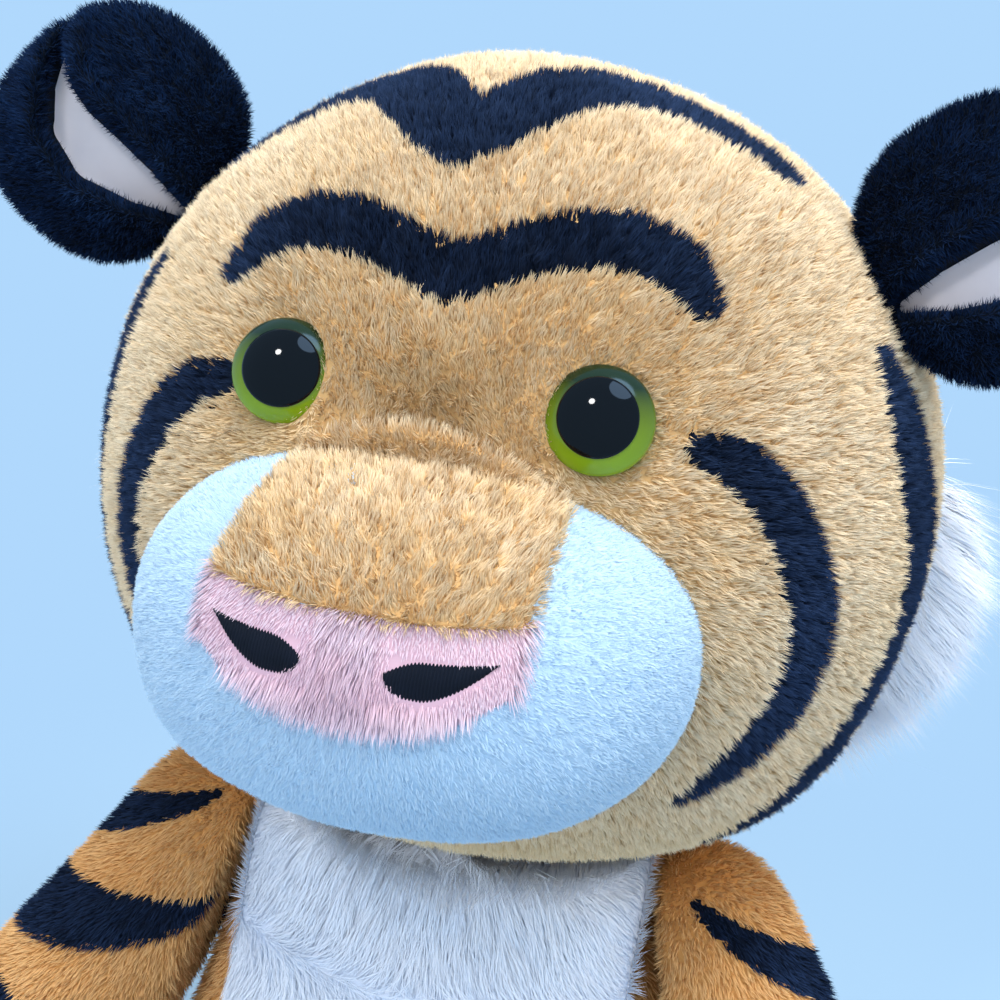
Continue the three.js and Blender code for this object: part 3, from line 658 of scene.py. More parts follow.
def pile_tree():
    """The node tree that plants blades on a skin along its kept flow."""
    tree = bpy.data.node_groups.new("Pile", "GeometryNodeTree")
    face = tree.interface
    face.new_socket("Skin", in_out="INPUT", socket_type="NodeSocketGeometry")
    face.new_socket("Blade", in_out="INPUT", socket_type="NodeSocketObject")
    face.new_socket("Material", in_out="INPUT", socket_type="NodeSocketMaterial")
    for name in PILE_INPUTS:
        face.new_socket(name, in_out="INPUT", socket_type="NodeSocketFloat")
    face.new_socket("Seed", in_out="INPUT", socket_type="NodeSocketInt")
    face.new_socket("Covered", in_out="OUTPUT", socket_type="NodeSocketGeometry")
    given = tree.nodes.new("NodeGroupInput").outputs

    # What the skin keeps, and what chance gives each hair
    skin_keeps = {}
    for name, kind in (("mask", "FLOAT"), ("pile", "FLOAT"), ("flow", "FLOAT_VECTOR")):
        node = add_node(tree, "GeometryNodeInputNamedAttribute", {"data_type": kind}, Name=name)
        skin_keeps[name] = node.outputs["Attribute"]
    chance = {}
    for name, seed_shift in (("scatter", 1), ("twist", 2)):
        seed = add_node(tree, MATH, ADD, _0=given["Seed"], _1=seed_shift).outputs[0]
        node = add_node(tree, RANDOM, {"data_type": "FLOAT_VECTOR"}, _0=(-1, -1, -1), _1=(1, 1, 1), Seed=seed)
        chance[name] = node.outputs[0]
    numbers = (("length", 3, *HAIR_LENGTH_SHARES), ("width", 4, *HAIR_WIDTH_SHARES), ("shade", 5, -0.5, 0.5))
    for name, seed_shift, low, high in numbers:
        seed = add_node(tree, MATH, ADD, _0=given["Seed"], _1=seed_shift).outputs[0]
        node = add_node(tree, RANDOM, {"data_type": "FLOAT"}, _2=low, _3=high, Seed=seed)
        chance[name] = node.outputs[1]

    # Points on the skin
    density = add_node(tree, MATH, MULTIPLY, _0=given["Density"], _1=skin_keeps["mask"]).outputs[0]
    planted = add_node(
        tree, "GeometryNodeDistributePointsOnFaces", {"distribute_method": "RANDOM"},
        Mesh=given["Skin"], Density=density, Seed=given["Seed"],
    ).outputs
    position = add_node(tree, "GeometryNodeInputPosition").outputs[0]

    # Which way a hair heads: up and along the flow, in clumps, scattered, and gathered into locks
    leaning = add_node(tree, VECTOR_MATH, SCALE, _0=skin_keeps["flow"], Scale=given["Lean"]).outputs[0]
    lain = add_node(tree, VECTOR_MATH, ADD, _0=planted["Normal"], _1=leaning).outputs[0]
    scale = add_node(tree, MATH, DIVIDE, _0=1.0, _1=given["Clump Size"]).outputs[0]
    cloud = add_node(
        tree, "ShaderNodeTexNoise", {"noise_dimensions": "3D"}, Vector=position, Scale=scale,
        Detail=CLUMP_DETAIL, Roughness=CLUMP_ROUGHNESS,
    ).outputs["Color"]
    clump = add_node(tree, VECTOR_MATH, SUBTRACT, _0=cloud, _1=HALF_EACH).outputs[0]
    clump = add_node(tree, VECTOR_MATH, SCALE, _0=clump, Scale=given["Clump"]).outputs[0]
    scatter = add_node(tree, VECTOR_MATH, SCALE, _0=chance["scatter"], Scale=given["Scatter"]).outputs[0]
    stray = add_node(tree, VECTOR_MATH, ADD, _0=clump, _1=scatter).outputs[0]
    scale = add_node(tree, MATH, DIVIDE, _0=1.0, _1=given["Lock Size"]).outputs[0]
    cell = add_node(
        tree, "ShaderNodeTexVoronoi", {"voronoi_dimensions": "3D"}, Vector=position, Scale=scale
    ).outputs
    own = add_node(tree, VECTOR_MATH, SUBTRACT, _0=cell["Color"], _1=HALF_EACH).outputs[0]
    pull = add_node(tree, MATH, DIVIDE, _0=given["Gather"], _1=given["Length"]).outputs[0]
    gather = add_node(tree, VECTOR_MATH, SUBTRACT, _0=cell["Position"], _1=position).outputs[0]
    gather = add_node(tree, VECTOR_MATH, SCALE, _0=gather, Scale=pull).outputs[0]
    swirl = add_node(tree, VECTOR_MATH, SCALE, _0=own, Scale=LOCK_SWIRL).outputs[0]
    swirl = add_node(tree, VECTOR_MATH, SCALE, _0=swirl, Scale=given["Lock"]).outputs[0]
    locked = add_node(tree, VECTOR_MATH, ADD, _0=gather, _1=swirl).outputs[0]
    heading = add_node(tree, VECTOR_MATH, ADD, _0=lain, _1=stray).outputs[0]
    heading = add_node(tree, VECTOR_MATH, ADD, _0=heading, _1=locked).outputs[0]
    twist = add_node(tree, VECTOR_MATH, SCALE, _0=chance["twist"], Scale=given["Twist"]).outputs[0]
    broad_side = add_node(tree, VECTOR_MATH, ADD, _0=planted["Normal"], _1=twist).outputs[0]
    turn = add_node(
        tree, "FunctionNodeAxesToRotation", {"primary_axis": "X", "secondary_axis": "Z"},
        _0=heading, _1=broad_side,
    ).outputs[0]

    # How long, wide and bright it is: highest in the middle of its lock, with painted light there and painted
    # shade towards the lock's edge
    ridge_and_painted_light = add_node(
        tree, MATH, MULTIPLY_ADD, _0=cell["Distance"], _1=-LOCK_RIDGE_FALL, _2=LOCK_RIDGE_TOP
    ).outputs[0]
    own_height = add_node(tree, "ShaderNodeSeparateXYZ", Vector=own).outputs["X"]
    lock = add_node(tree, MATH, ADD, _0=ridge_and_painted_light, _1=own_height).outputs[0]
    lock = add_node(tree, MATH, MULTIPLY, _0=lock, _1=given["Lock"]).outputs[0]
    taller = add_node(tree, MATH, MULTIPLY_ADD, _0=lock, _1=LOCK_HEIGHT_SHARE, _2=1.0).outputs[0]
    length = add_node(tree, MATH, MULTIPLY, _0=given["Length"], _1=skin_keeps["pile"]).outputs[0]
    growth = add_node(tree, MATH, MULTIPLY, _0=taller, _1=chance["length"]).outputs[0]
    length = add_node(tree, MATH, MULTIPLY, _0=length, _1=growth).outputs[0]
    width = add_node(tree, MATH, MULTIPLY, _0=given["Width"], _1=chance["width"]).outputs[0]
    scale = add_node(tree, "ShaderNodeCombineXYZ", X=length, Y=width, Z=length).outputs[0]
    # The shade kept on each hair: its random tone plus its lock's painted light and shade
    shade = add_node(tree, MATH, ADD, _0=chance["shade"], _1=lock).outputs[0]

    # Blades on the points, joined to the skin
    shaded = add_node(
        tree, "GeometryNodeStoreNamedAttribute", {"data_type": "FLOAT", "domain": "POINT"},
        Geometry=planted["Points"], Name="shade", Value=shade,
    ).outputs[0]
    blade = add_node(tree, "GeometryNodeObjectInfo", Object=given["Blade"]).outputs["Geometry"]
    hairs = add_node(
        tree, "GeometryNodeInstanceOnPoints", Points=shaded, Instance=blade, Rotation=turn, Scale=scale
    ).outputs[0]
    real = add_node(tree, "GeometryNodeRealizeInstances", Geometry=hairs).outputs[0]
    joined = add_node(tree, "GeometryNodeJoinGeometry", _0=real)
    tree.links.new(given["Skin"], joined.inputs[0])
    done = add_node(
        tree, "GeometryNodeSetMaterial", Geometry=joined.outputs[0], Material=given["Material"]
    ).outputs[0]
    add_node(tree, "NodeGroupOutput", _0=done)
    return tree


def shared_tree():
    """The pile's node tree, made once."""
    return bpy.data.node_groups.get("Pile") or pile_tree()


def shared_blade(name):
    """The short or the long blade, made once."""
    return bpy.data.objects.get(name) or blade_object(name, *BLADES[name])


def paint_palette(mesh):
    """Writes the palette map: u from the kept tone and stripe, v from root to tip."""
    # Each hair's kept shade holds its random tone and its lock's painted light and shade
    tone = kept(mesh, "tone", 0.5) + SHADE_SHARE * kept(mesh, "shade")
    dark = (kept(mesh, "stripe", 1.0) + EDGE_JITTER * kept(mesh, "shade")) < 0
    along = kept(mesh, "along")
    corners = np.empty(len(mesh.loops), int)
    mesh.loops.foreach_get("vertex_index", corners)
    starts = np.empty(len(mesh.polygons), int)
    mesh.polygons.foreach_get("loop_start", starts)
    counts = np.diff(np.append(starts, len(corners)))
    face = np.repeat(np.arange(len(starts)), counts)
    order = np.arange(len(corners)) - starts[face]
    face_tone = np.clip(np.add.reduceat(tone[corners], starts) / counts, 0, 1)
    face_dark = np.add.reduceat(dark[corners].astype(float), starts) / counts > 0.5
    plain = PALETTE_PLAIN[0] + face_tone * (PALETTE_PLAIN[1] - PALETTE_PLAIN[0])
    black = PALETTE_DARK[0] + face_tone * (PALETTE_DARK[1] - PALETTE_DARK[0])
    left_or_right = np.where((order == 0) | (order == 3), -1, 1)
    u = np.where(face_dark, black, plain)[face] + PALETTE_SPREAD * left_or_right
    # The skin and the hairs' roots fall in the root band, coloured with painted shade
    v = PALETTE_ROOT_BAND * (order > 1) + (1 - 2 * PALETTE_ROOT_BAND) * along[corners]
    layer = mesh.uv_layers.get(PALETTE_MAP) or mesh.uv_layers.new(name=PALETTE_MAP)
    layer.uv.foreach_set("vector", np.stack([u, v], axis=1).astype(np.float32).ravel())
    mesh.uv_layers.active = layer
    for name in ("flow", "mask", "pile", "tone", "stripe", "shade", "along"):
        if name in mesh.attributes:
            mesh.attributes.remove(mesh.attributes[name])


def cover(skin, material, density, length, width, lean=1.0, clump=0.8, clump_size=5 * MM, scatter=0.25,
          lock=0.3, lock_size=1.6 * MM, gather=0.4, twist=0.45, blade="short_blade", seed=1):
    """Grows pile on a prepared skin, and paints the palette map."""
    tree = shared_tree()
    modifier = skin.modifiers.new("Pile", "NODES")
    modifier.node_group = tree
    values = {
        "Blade": shared_blade(blade), "Material": material, "Density": density / MM ** 2, "Length": length,
        "Width": width, "Lean": lean, "Clump": clump, "Clump Size": clump_size, "Scatter": scatter,
        "Lock": lock, "Lock Size": lock_size, "Gather": gather, "Twist": twist, "Seed": seed,
    }
    for item in tree.interface.items_tree:
        if item.item_type == "SOCKET" and item.in_out == "INPUT" and item.name in values:
            modifier[item.identifier] = values[item.name]
    piece = evaluated(skin)
    paint_palette(piece.data)
    piece.data.shade_smooth()
    return piece


def prepare(skin, flow, mask=1.0, pile=1.0, tone=0.5, stripe=1.0):
    """Keeps on a skin what its pile needs."""
    mesh = skin.data
    normals = normals_of(mesh)
    flow = np.broadcast_to(flow, normals.shape)
    flow = unit(flow - (flow * normals).sum(axis=1, keepdims=True) * normals)
    count = len(mesh.vertices)
    keep(mesh, "flow", flow, "FLOAT_VECTOR")
    for name, value in (("mask", mask), ("pile", pile), ("tone", tone), ("stripe", stripe)):
        keep(mesh, name, np.broadcast_to(value, count))


def settle(piece, body, nodes):
    """Gives a finished piece its body, and hides the frame nodes that it stands for."""
    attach(piece, body)
    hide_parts(*nodes)


def soft_skin(node, name, rise=PILE_RISE, voxel=SKIN_VOXEL, lump=SKIN_LUMP):
    """A smooth stuffed skin round one of the frame's soft solids, drawn in by rise."""
    source = frame["nodes"][node]
    skin = bpy.data.objects.new(name, source.data.copy())
    bpy.context.scene.collection.objects.link(skin)
    remesh = skin.modifiers.new("Even", "REMESH")
    remesh.mode = "VOXEL"
    remesh.voxel_size = voxel
    soften = skin.modifiers.new("Soften", "SMOOTH")
    soften.factor = SKIN_SOFTNESS
    soften.iterations = SKIN_SMOOTHING
    skin = evaluated(skin)
    points, normals = points_of(skin.data), normals_of(skin.data)
    swell = lump * noise_at(points, SKIN_LUMP_SIZE, 3.0) - rise
    move_points(skin.data, points + normals * swell[:, None])
    return skin


# Materials


def pile_material(name, root, low, high, dark_deep_and_painted_root_shade=None, dark_high_painted_sheen=None):
    """Pile coloured by the palette map: u picks the tone, v runs from the root, darkened as painted shade, to
    the tip.
    """
    material = bpy.data.materials.get(name)
    if material:
        return material
    material = bpy.data.materials.new(name)
    material.use_nodes = True
    tree = material.node_tree
    surface = tree.nodes["Principled BSDF"]
    surface.inputs["Roughness"].default_value = PILE_ROUGHNESS
    surface.inputs["Specular IOR Level"].default_value = PILE_SPECULAR
    place = add_node(tree, "ShaderNodeUVMap", {"uv_map": PALETTE_MAP}).outputs[0]
    parts = add_node(tree, "ShaderNodeSeparateXYZ", Vector=place).outputs
    height = add_node(tree, MATH, {"operation": "POWER"}, _0=parts["Y"], _1=ROOT_SHADE_POWER).outputs[0]
    palettes = [(PALETTE_PLAIN, root, low, high)]
    if dark_deep_and_painted_root_shade is not None:
        palettes.append((PALETTE_DARK, dark_deep_and_painted_root_shade, dark_deep_and_painted_root_shade, dark_high_painted_sheen))
    colours = []
    for (start, end), painted_root_shade, deep, pale in palettes:
        share = add_node(
            tree, "ShaderNodeMapRange", {"clamp": True}, Value=parts["X"], From_Min=start, From_Max=end
        ).outputs[0]
        tip = add_node(tree, MIX, COLOUR_MIX, Factor=share, _6=(*deep, 1), _7=(*pale, 1)).outputs[2]
        colours.append(add_node(tree, MIX, COLOUR_MIX, Factor=height, _6=(*painted_root_shade, 1), _7=tip).outputs[2])
    colour = colours[0]
    if dark_deep_and_painted_root_shade is not None:
        is_dark = add_node(
            tree, MATH, {"operation": "GREATER_THAN"}, _0=parts["X"], _1=PALETTE_SPLIT
        ).outputs[0]
        colour = add_node(tree, MIX, COLOUR_MIX, Factor=is_dark, _6=colour, _7=colours[1]).outputs[2]
    tree.links.new(colour, surface.inputs["Base Color"])
    return material


def golden_pile():
    """Short golden pile of the head with navy black in the stripes."""
    pile = bpy.context.scene.tiger_colours
    return pile_material(
        "Golden plush", pile.gold_root_painted_shade, pile.gold_low, pile.gold_high, pile.stripe_deep_and_painted_root_shade, pile.stripe_high_painted_sheen
    )


def body_pile():
    """Deeper golden pile of the body and limbs."""
    pile = bpy.context.scene.tiger_colours
    return pile_material(
        "Deep golden plush", pile.body_root_painted_shade, pile.body_low, pile.body_high, pile.stripe_deep_and_painted_root_shade,
        pile.body_stripe_high_painted_sheen,
    )


def black_pile():
    """Short black pile with navy tips, the paler of them painted sheen."""
    pile = bpy.context.scene.tiger_colours
    return pile_material("Black plush", pile.black_root_painted_shade, pile.black_low, pile.black_high_painted_sheen)


def white_pile_painted_cool_shade():
    """Very short white pile, its colours darkened and tinted blue as painted cool shade."""
    pile = bpy.context.scene.tiger_colours
    return pile_material("White plush", pile.white_root_painted_shade, pile.white_low_painted_shade, pile.white_high_painted_shade)


def long_white_pile():
    """Long loose white pile, bright down to its roots."""
    pile = bpy.context.scene.tiger_colours
    return pile_material("Long white pile", pile.long_root_painted_shade, pile.long_low, pile.long_high)


def pink_pile():
    """Brushed pink pile with pale tips."""
    pile = bpy.context.scene.tiger_colours
    return pile_material("Pink plush", pile.pink_root_painted_shade, pile.pink_low, pile.pink_high)


def plain_material(name, colour, roughness, specular=0.5, patch=None, patch_size=4 * MM):
    """A plain surface, with soft patches of a second colour where one is given."""
    material = bpy.data.materials.get(name)
    if material:
        return material
    material = bpy.data.materials.new(name)
    material.use_nodes = True
    tree = material.node_tree
    surface = tree.nodes["Principled BSDF"]
    surface.inputs["Roughness"].default_value = roughness
    surface.inputs["Specular IOR Level"].default_value = specular
    surface.inputs["Base Color"].default_value = (*linear(colour), 1)
    if patch:
        place = add_node(tree, "ShaderNodeTexCoord").outputs["Object"]
        cloud = add_node(tree, "ShaderNodeTexNoise", Vector=place, Scale=1 / patch_size, Detail=3.0)
        ends = {"_6": (*linear(colour), 1), "_7": (*linear(patch), 1)}
        mix = add_node(tree, MIX, COLOUR_MIX, Factor=cloud.outputs["Fac"], **ends)
        tree.links.new(mix.outputs[2], surface.inputs["Base Color"])
    return material


def collar_plastic():
    """Green plastic with a painted glow, lime at its low edge, and painted shade that darkens it towards the
    top.
    """
    material = bpy.data.materials.get("Green eye plastic")
    if material:
        return material
    material = plain_material("Green eye plastic", "#5E8426", 0.16, specular=0.4)
    tree = material.node_tree
    place = add_node(tree, "ShaderNodeTexCoord").outputs["Object"]
    height = add_node(tree, "ShaderNodeSeparateXYZ", Vector=place).outputs["Z"]
    middle, radius = HEAD_CENTRE[2] + EYE_RISE, COLLAR_PROFILE[:, 0].max()
    low, high = (middle + share * radius for share in COLLAR_PAINTED_LIGHT_SHARES)
    share = add_node(
        tree, "ShaderNodeMapRange", {"clamp": True}, Value=height, From_Min=low, From_Max=high
    ).outputs[0]
    # Painted light: a lime glow low down, painted shade towards the top
    colours = bpy.context.scene.tiger_colours
    mix = add_node(
        tree, MIX, COLOUR_MIX, Factor=share, _6=(*colours.collar_painted_glow, 1), _7=(*colours.collar_painted_shade, 1)
    ).outputs[2]
    tree.links.new(mix, tree.nodes["Principled BSDF"].inputs["Base Color"])
    return material


# Head


def eye_place(side):
    """The eye's place on the head's ellipsoid, and the direction that it faces."""
    inside = 1 - (EYE_X / HEAD_RADII[0]) ** 2 - (EYE_RISE / HEAD_RADII[2]) ** 2
    local = np.array([side * EYE_X, -HEAD_RADII[1] * math.sqrt(inside), EYE_RISE])
    x, y, z = unit(local / HEAD_RADII ** 2)
    c, s = math.cos(EYE_INWARD_TURNS[side]), side * math.sin(EYE_INWARD_TURNS[side])
    axis = np.array([c * x + s * y, c * y - s * x, z])
    return HEAD_CENTRE + local - EYE_SINK * axis, axis


def eye_cover(points):
    """True where a point lies over or under a collar that is above the skin."""
    covered = np.zeros(len(points), bool)
    for side in SIDES.values():
        place, axis = eye_place(side)
        height = (points - place) @ axis
        radius = np.linalg.norm(points - place - height[:, None] * axis, axis=1)
        rim = np.interp(-radius, -COLLAR_PROFILE[COLLAR_RIM_ROW:, 0], COLLAR_PROFILE[COLLAR_RIM_ROW:, 1])
        covered |= (radius < EYE_CLEAR_RADIUS) & (height < rim) & (height > -EYE_COVER_DEPTH)
    return covered


def muzzle_level(points):
    """Below 1 inside the muzzle's full form, above 1 outside it."""
    local = np.abs(points - MUZZLE_CENTRE) / MUZZLE_RADII
    return (local ** MUZZLE_FULLNESS).sum(axis=-1)


def head_level(points):
    """Below 1 inside the head's ellipsoid, above 1 outside it."""
    return (((points - HEAD_CENTRE) / SKIN_RADII) ** 2).sum(axis=-1)


def face_front(x, z):
    """The y of the face's front, where the muzzle and the head merge, from the middle of the head."""
    head_in = np.clip(1 - (x / SKIN_RADII[0]) ** 2 - (z / SKIN_RADII[2]) ** 2, 0, 1)
    head_y = -SKIN_RADII[1] * np.sqrt(head_in)
    radii = MUZZLE_RADII - MUZZLE_PILE_RISE
    across, up = np.abs(x) / radii[0], np.abs(z - MUZZLE_OFFSET[2]) / radii[2]
    level = across ** MUZZLE_FULLNESS + up ** MUZZLE_FULLNESS
    muzzle_y = MUZZLE_OFFSET[1] - radii[1] * np.clip(1 - level, 0, 1) ** (1 / MUZZLE_FULLNESS)
    gap = np.clip(0.5 + 0.5 * (head_y - muzzle_y) / PANEL_MERGE, 0, 1)
    return head_y * (1 - gap) + muzzle_y * gap - PANEL_MERGE * gap * (1 - gap)


def bridge_top(x):
    """The top edge of the nose bridge at x."""
    across = x / BRIDGE_HALF_WIDTH
    return BRIDGE_TOP - BRIDGE_TOP_FALL * across ** 2 - BRIDGE_TOP_TILT * across


def bridge_low(x):
    """The seam between the nose bridge and the nose at x."""
    return BRIDGE_LOW + BRIDGE_LOW_RISE * (x / BRIDGE_HALF_WIDTH) ** 2


def nose_top(x):
    """The nose's top edge, which reaches under the nose bridge."""
    return bridge_low(x) + SEAM_OVERLAP


def nose_low(x):
    """The low edge of the nose at x."""
    return NOSE_LOW + (NOSE_SHOULDER - NOSE_LOW) * np.abs(x / NOSE_HALF_WIDTH) ** NOSE_LOW_POWER


def under_panels(points):
    """True where a point lies behind the nose bridge or the nose."""
    local = points - HEAD_CENTRE
    x, z = local[:, 0], local[:, 2]
    between = (z < bridge_top(x)) & (z > nose_low(x))
    up = np.clip((z - BRIDGE_LOW) / (BRIDGE_TOP - BRIDGE_LOW), 0, 1)
    middle = up * BRIDGE_TOP_SHIFT
    return (np.abs(x - middle) < BRIDGE_HALF_WIDTH - up * BRIDGE_TOP_NARROWING) & between & (local[:, 1] < 0)


def swellings(local):
    """How far the stuffing stands out at points of the head's front."""
    total = np.zeros(len(local))
    for x, z, radius, height in HEAD_SWELLINGS:
        apart = ((np.abs(local[:, 0]) - x * MM) ** 2 + (local[:, 2] - z * MM) ** 2) / (radius * MM) ** 2
        total += height * MM * np.exp(-SWELLING_FALL * apart) * (local[:, 1] < 0)
    apart = np.linalg.norm(mirrored(local) - JOWL_MIDDLE, axis=1) / JOWL_RADIUS
    return total + JOWL_RISE * np.exp(-SWELLING_FALL * apart ** 2)


def face_flow(points):
    """The pile's lie on the face: away from the nose, and round the eyes away from them."""
    flow = unit(points - (HEAD_CENTRE + np.array([0, face_front(0, 0), BRIDGE_LOW])))
    for side in SIDES.values():
        away = points - eye_place(side)[0]
        apart = np.linalg.norm(away, axis=1)
        share = np.exp(-np.clip(apart - EYE_CLEAR_RADIUS, 0, None) / (EYE_FLOW_RADIUS - EYE_CLEAR_RADIUS))
        flow = flow + EYE_FLOW_STRENGTH * share[:, None] * unit(away)
    return unit(flow)


def face_tone(local):
    """Deeper gold round the eyes, painted shade on the jaw, paler towards the cheeks, in soft patches."""
    across, up = local[:, 0] / TONE_HALF_WIDTH, (local[:, 2] - TONE_MIDDLE_RISE) / TONE_HALF_HEIGHT
    cheek_share = smooth_step(np.sqrt(across ** 2 + up ** 2), TONE_NEAR_SHARE, 1.0)
    # Painted shade under the head: the jaw darkens between two depths
    painted_jaw_shade = smooth_step(-local[:, 2], JAW_HIGH, JAW_LOW)
    patches = TONE_PATCH_GAIN * noise_at(local, TONE_PATCH_SIZE, 5.0)
    return FACE_TONE + CHEEK_TONE_GAIN * cheek_share + patches - JAW_PAINTED_SHADE * painted_jaw_shade


def build_head():
    """The head's skin and pile."""
    settings = bpy.context.scene.tiger_pile
    directions, faces = unit_ball()
    local = directions * SKIN_RADII
    outward = unit(directions / SKIN_RADII)
    rise = HEAD_LUMP * noise_at(local, HEAD_LUMP_SIZE) + swellings(local)
    points = HEAD_CENTRE + local + outward * rise[:, None]
    skin = mesh_object("head_fur", points, faces)
    clear = ~eye_cover(points) & (muzzle_level(points) > EDGE_COVER_SHARE) & ~under_panels(points)
    clear = clear * clear_of(points, ["torso", "neck", "ear_left", "ear_right"])
    clear = clear * (1 - (1 - BACK_SHARE) * smooth_step(local[:, 1], 0, BACK_FADE))
    eyes = [np.linalg.norm(points - eye_place(side)[0], axis=1) for side in SIDES.values()]
    from_eye = np.clip(np.min(eyes, axis=0) - EYE_CLEAR_RADIUS, 0, None)
    pile = 1 - EYE_PILE_LOSS * np.exp(-from_eye / EYE_PILE_REACH)
    flow = face_flow(points)
    stripes = head_stripes(local + flow * HEAD_STRIPE_LEAD)
    prepare(skin, flow, clear, pile, face_tone(local), stripes)
    head = cover(
        skin, golden_pile(), settings.head_density, settings.head_length, settings.blade_width, seed=11,
        **HEAD_COAT,
    )
    settle(head, "head", ["head"])


# Muzzle and its panels


def build_muzzle():
    """The white muzzle."""
    directions, faces = unit_ball()
    radii = MUZZLE_RADII - MUZZLE_PILE_RISE
    level = (np.abs(directions) ** MUZZLE_FULLNESS).sum(axis=1) ** (-1 / MUZZLE_FULLNESS)
    points = MUZZLE_CENTRE + directions * level[:, None] * radii
    used, faces = kept_faces(faces, head_level(points) > MUZZLE_KEPT_SHARE)
    points = points[used]
    lump = MUZZLE_LUMP * noise_at(points, MUZZLE_LUMP_SIZE, 2.0)
    points = points + unit(points - MUZZLE_CENTRE) * lump[:, None]
    skin = mesh_object("muzzle_fur", points, faces)
    mask = (head_level(points) > 1.0) & ~under_panels(points)
    flow = points - (HEAD_CENTRE + np.array([0, face_front(0, BRIDGE_LOW), BRIDGE_LOW]))
    tone = 0.6 + 0.3 * noise_at(points, 12 * MM, 4.0)
    prepare(skin, flow, mask, 1.0, tone)
    muzzle = cover(skin, white_pile_painted_cool_shade(), seed=21, **MUZZLE_COAT)
    settle(muzzle, "head", ["muzzle"])


def face_panel(name, half_width, low, top, grid, rise=PANEL_RISE, tuck=PANEL_TUCK, narrowing=0, shift=0):
    """A panel laid on the face between two edges, its border tucked in, narrower and shifted at its top."""
    rows, columns = grid
    points = []
    for row in range(rows):
        for column in range(columns):
            across = 2 * column / (columns - 1) - 1
            up = row / (rows - 1)
            x = across * half_width
            z = low(x) + up * (top(x) - low(x))
            x += up * (shift - across * narrowing)
            edge = min(1 - abs(across), up, 1 - up) / PANEL_EDGE_SHARE
            y = face_front(x, z) - rise + tuck * max(0, 1 - edge) ** 2
            points.append(HEAD_CENTRE + (x, y, z))
    return mesh_object(name, points, grid_faces(rows, columns))


def build_bridge():
    """The golden panel from the eyes to the nose."""
    skin = face_panel(
        "nose_bridge_fur", BRIDGE_HALF_WIDTH, bridge_low, bridge_top, BRIDGE_GRID,
        narrowing=BRIDGE_TOP_NARROWING, shift=BRIDGE_TOP_SHIFT,
    )
    points = points_of(skin.data)
    local = points - HEAD_CENTRE
    top_painted_light = smooth_step(local[:, 2], BRIDGE_LOW, BRIDGE_TOP)
    flow = np.stack([local[:, 0] * 6, np.zeros(len(local)), np.full(len(local), 0.25)], axis=1)
    # Painted light: the bridge's pile grows paler towards its top
    tone = 0.42 + 0.3 * noise_at(points, 9 * MM, 8.0) + 0.15 * top_painted_light
    prepare(skin, flow, 1.0, 1.0, tone)
    bridge = cover(skin, golden_pile(), seed=31, **BRIDGE_COAT)
    settle(bridge, "head", ["nose_bridge"])


def build_nose():
    """The pink panel below the bridge, its pile brushed down over the nostrils."""
    skin = face_panel(
        "nose_fur", NOSE_HALF_WIDTH, nose_low, nose_top, NOSE_GRID, rise=NOSE_RISE, tuck=NOSE_TUCK
    )
    points = points_of(skin.data)
    local = points - HEAD_CENTRE
    x, z = local[:, 0], local[:, 2]
    top_share = smooth_step(z, NOSE_TONE_TOP, BRIDGE_LOW)
    low_share = smooth_step(z - nose_low(x), 0, NOSE_TONE_EDGE)
    flow = np.stack([x * 8, np.zeros(len(local)), np.full(len(local), -1.0)], axis=1)
    tone = 0.95 - 0.65 * low_share + 0.5 * top_share + 0.12 * noise_at(points, 4 * MM, 9.0)
    mask = np.ones(len(points))
    pile = np.full(len(points), NOSE_PILE_SHARE)
    for side in SIDES.values():
        across = (side * x - NOSTRIL_INNER) / (NOSTRIL_OUTER - NOSTRIL_INNER)
        from_middle = np.abs(across - 0.5)
        low = NOSTRIL_TOP - NOSTRIL_HEIGHT * nostril_share(across)
        mask[(from_middle < NOSTRIL_BARE_HALF) & (z < NOSTRIL_TOP) & (z > low)] = 0
        pile[(from_middle < NOSTRIL_SHORT_HALF) & (z > NOSTRIL_TOP - NOSTRIL_HEIGHT)] = NOSTRIL_PILE_SHARE
    prepare(skin, flow, mask, pile, tone)
    nose = cover(skin, pink_pile(), seed=41, **NOSE_COAT)
    settle(nose, "head", ["nose"])


def nostril_share(across):
    """The nostril's height at a share of its width: full near the inner end, a point at the outer end."""
    inner = np.clip(1 - across / NOSTRIL_ROUND_SHARE, 0, 1)
    outer = np.clip((across - NOSTRIL_ROUND_SHARE) / (1 - NOSTRIL_ROUND_SHARE), 0, 1)
    return np.sqrt(1 - inner ** 2) * (1 - outer ** NOSTRIL_POINT_POWER)


def build_nostrils():
    """Two nostrils of black satin stitches."""
    material = plain_material("Black thread", "#050810", 0.7, specular=0.2, patch="#0C1220", patch_size=0.002)
    columns = int(STITCH_COLUMNS * (NOSTRIL_OUTER - NOSTRIL_INNER) / STITCH_PITCH)
    for side_name, side in SIDES.items():
        points = []
        for row in range(NOSTRIL_ROWS):
            up = row / (NOSTRIL_ROWS - 1)
            for column in range(columns):
                across = column / (columns - 1)
                x = NOSTRIL_INNER + across * (NOSTRIL_OUTER - NOSTRIL_INNER)
                top = NOSTRIL_TOP - NOSTRIL_SHOULDER * max(0, 1 - across / NOSTRIL_ROUND_SHARE) ** 2
                z = top - (1 - up) * NOSTRIL_HEIGHT * float(nostril_share(across))
                thread = STITCH_DEPTH * abs(math.sin(math.pi * x / STITCH_PITCH))
                plump = NOSTRIL_RISE * math.sqrt(max(0, math.sin(math.pi * up)))
                y = face_front(x, z) - plump - thread + NOSTRIL_SINK
                points.append(HEAD_CENTRE + (side * x, y, z))
        nostril = mesh_object(f"nostril_{side_name}_stitches", points, grid_faces(NOSTRIL_ROWS, columns))
        nostril.data.materials.append(material)
        nostril.data.shade_smooth()
        settle(nostril, "head", [f"nostril_{side_name}"])


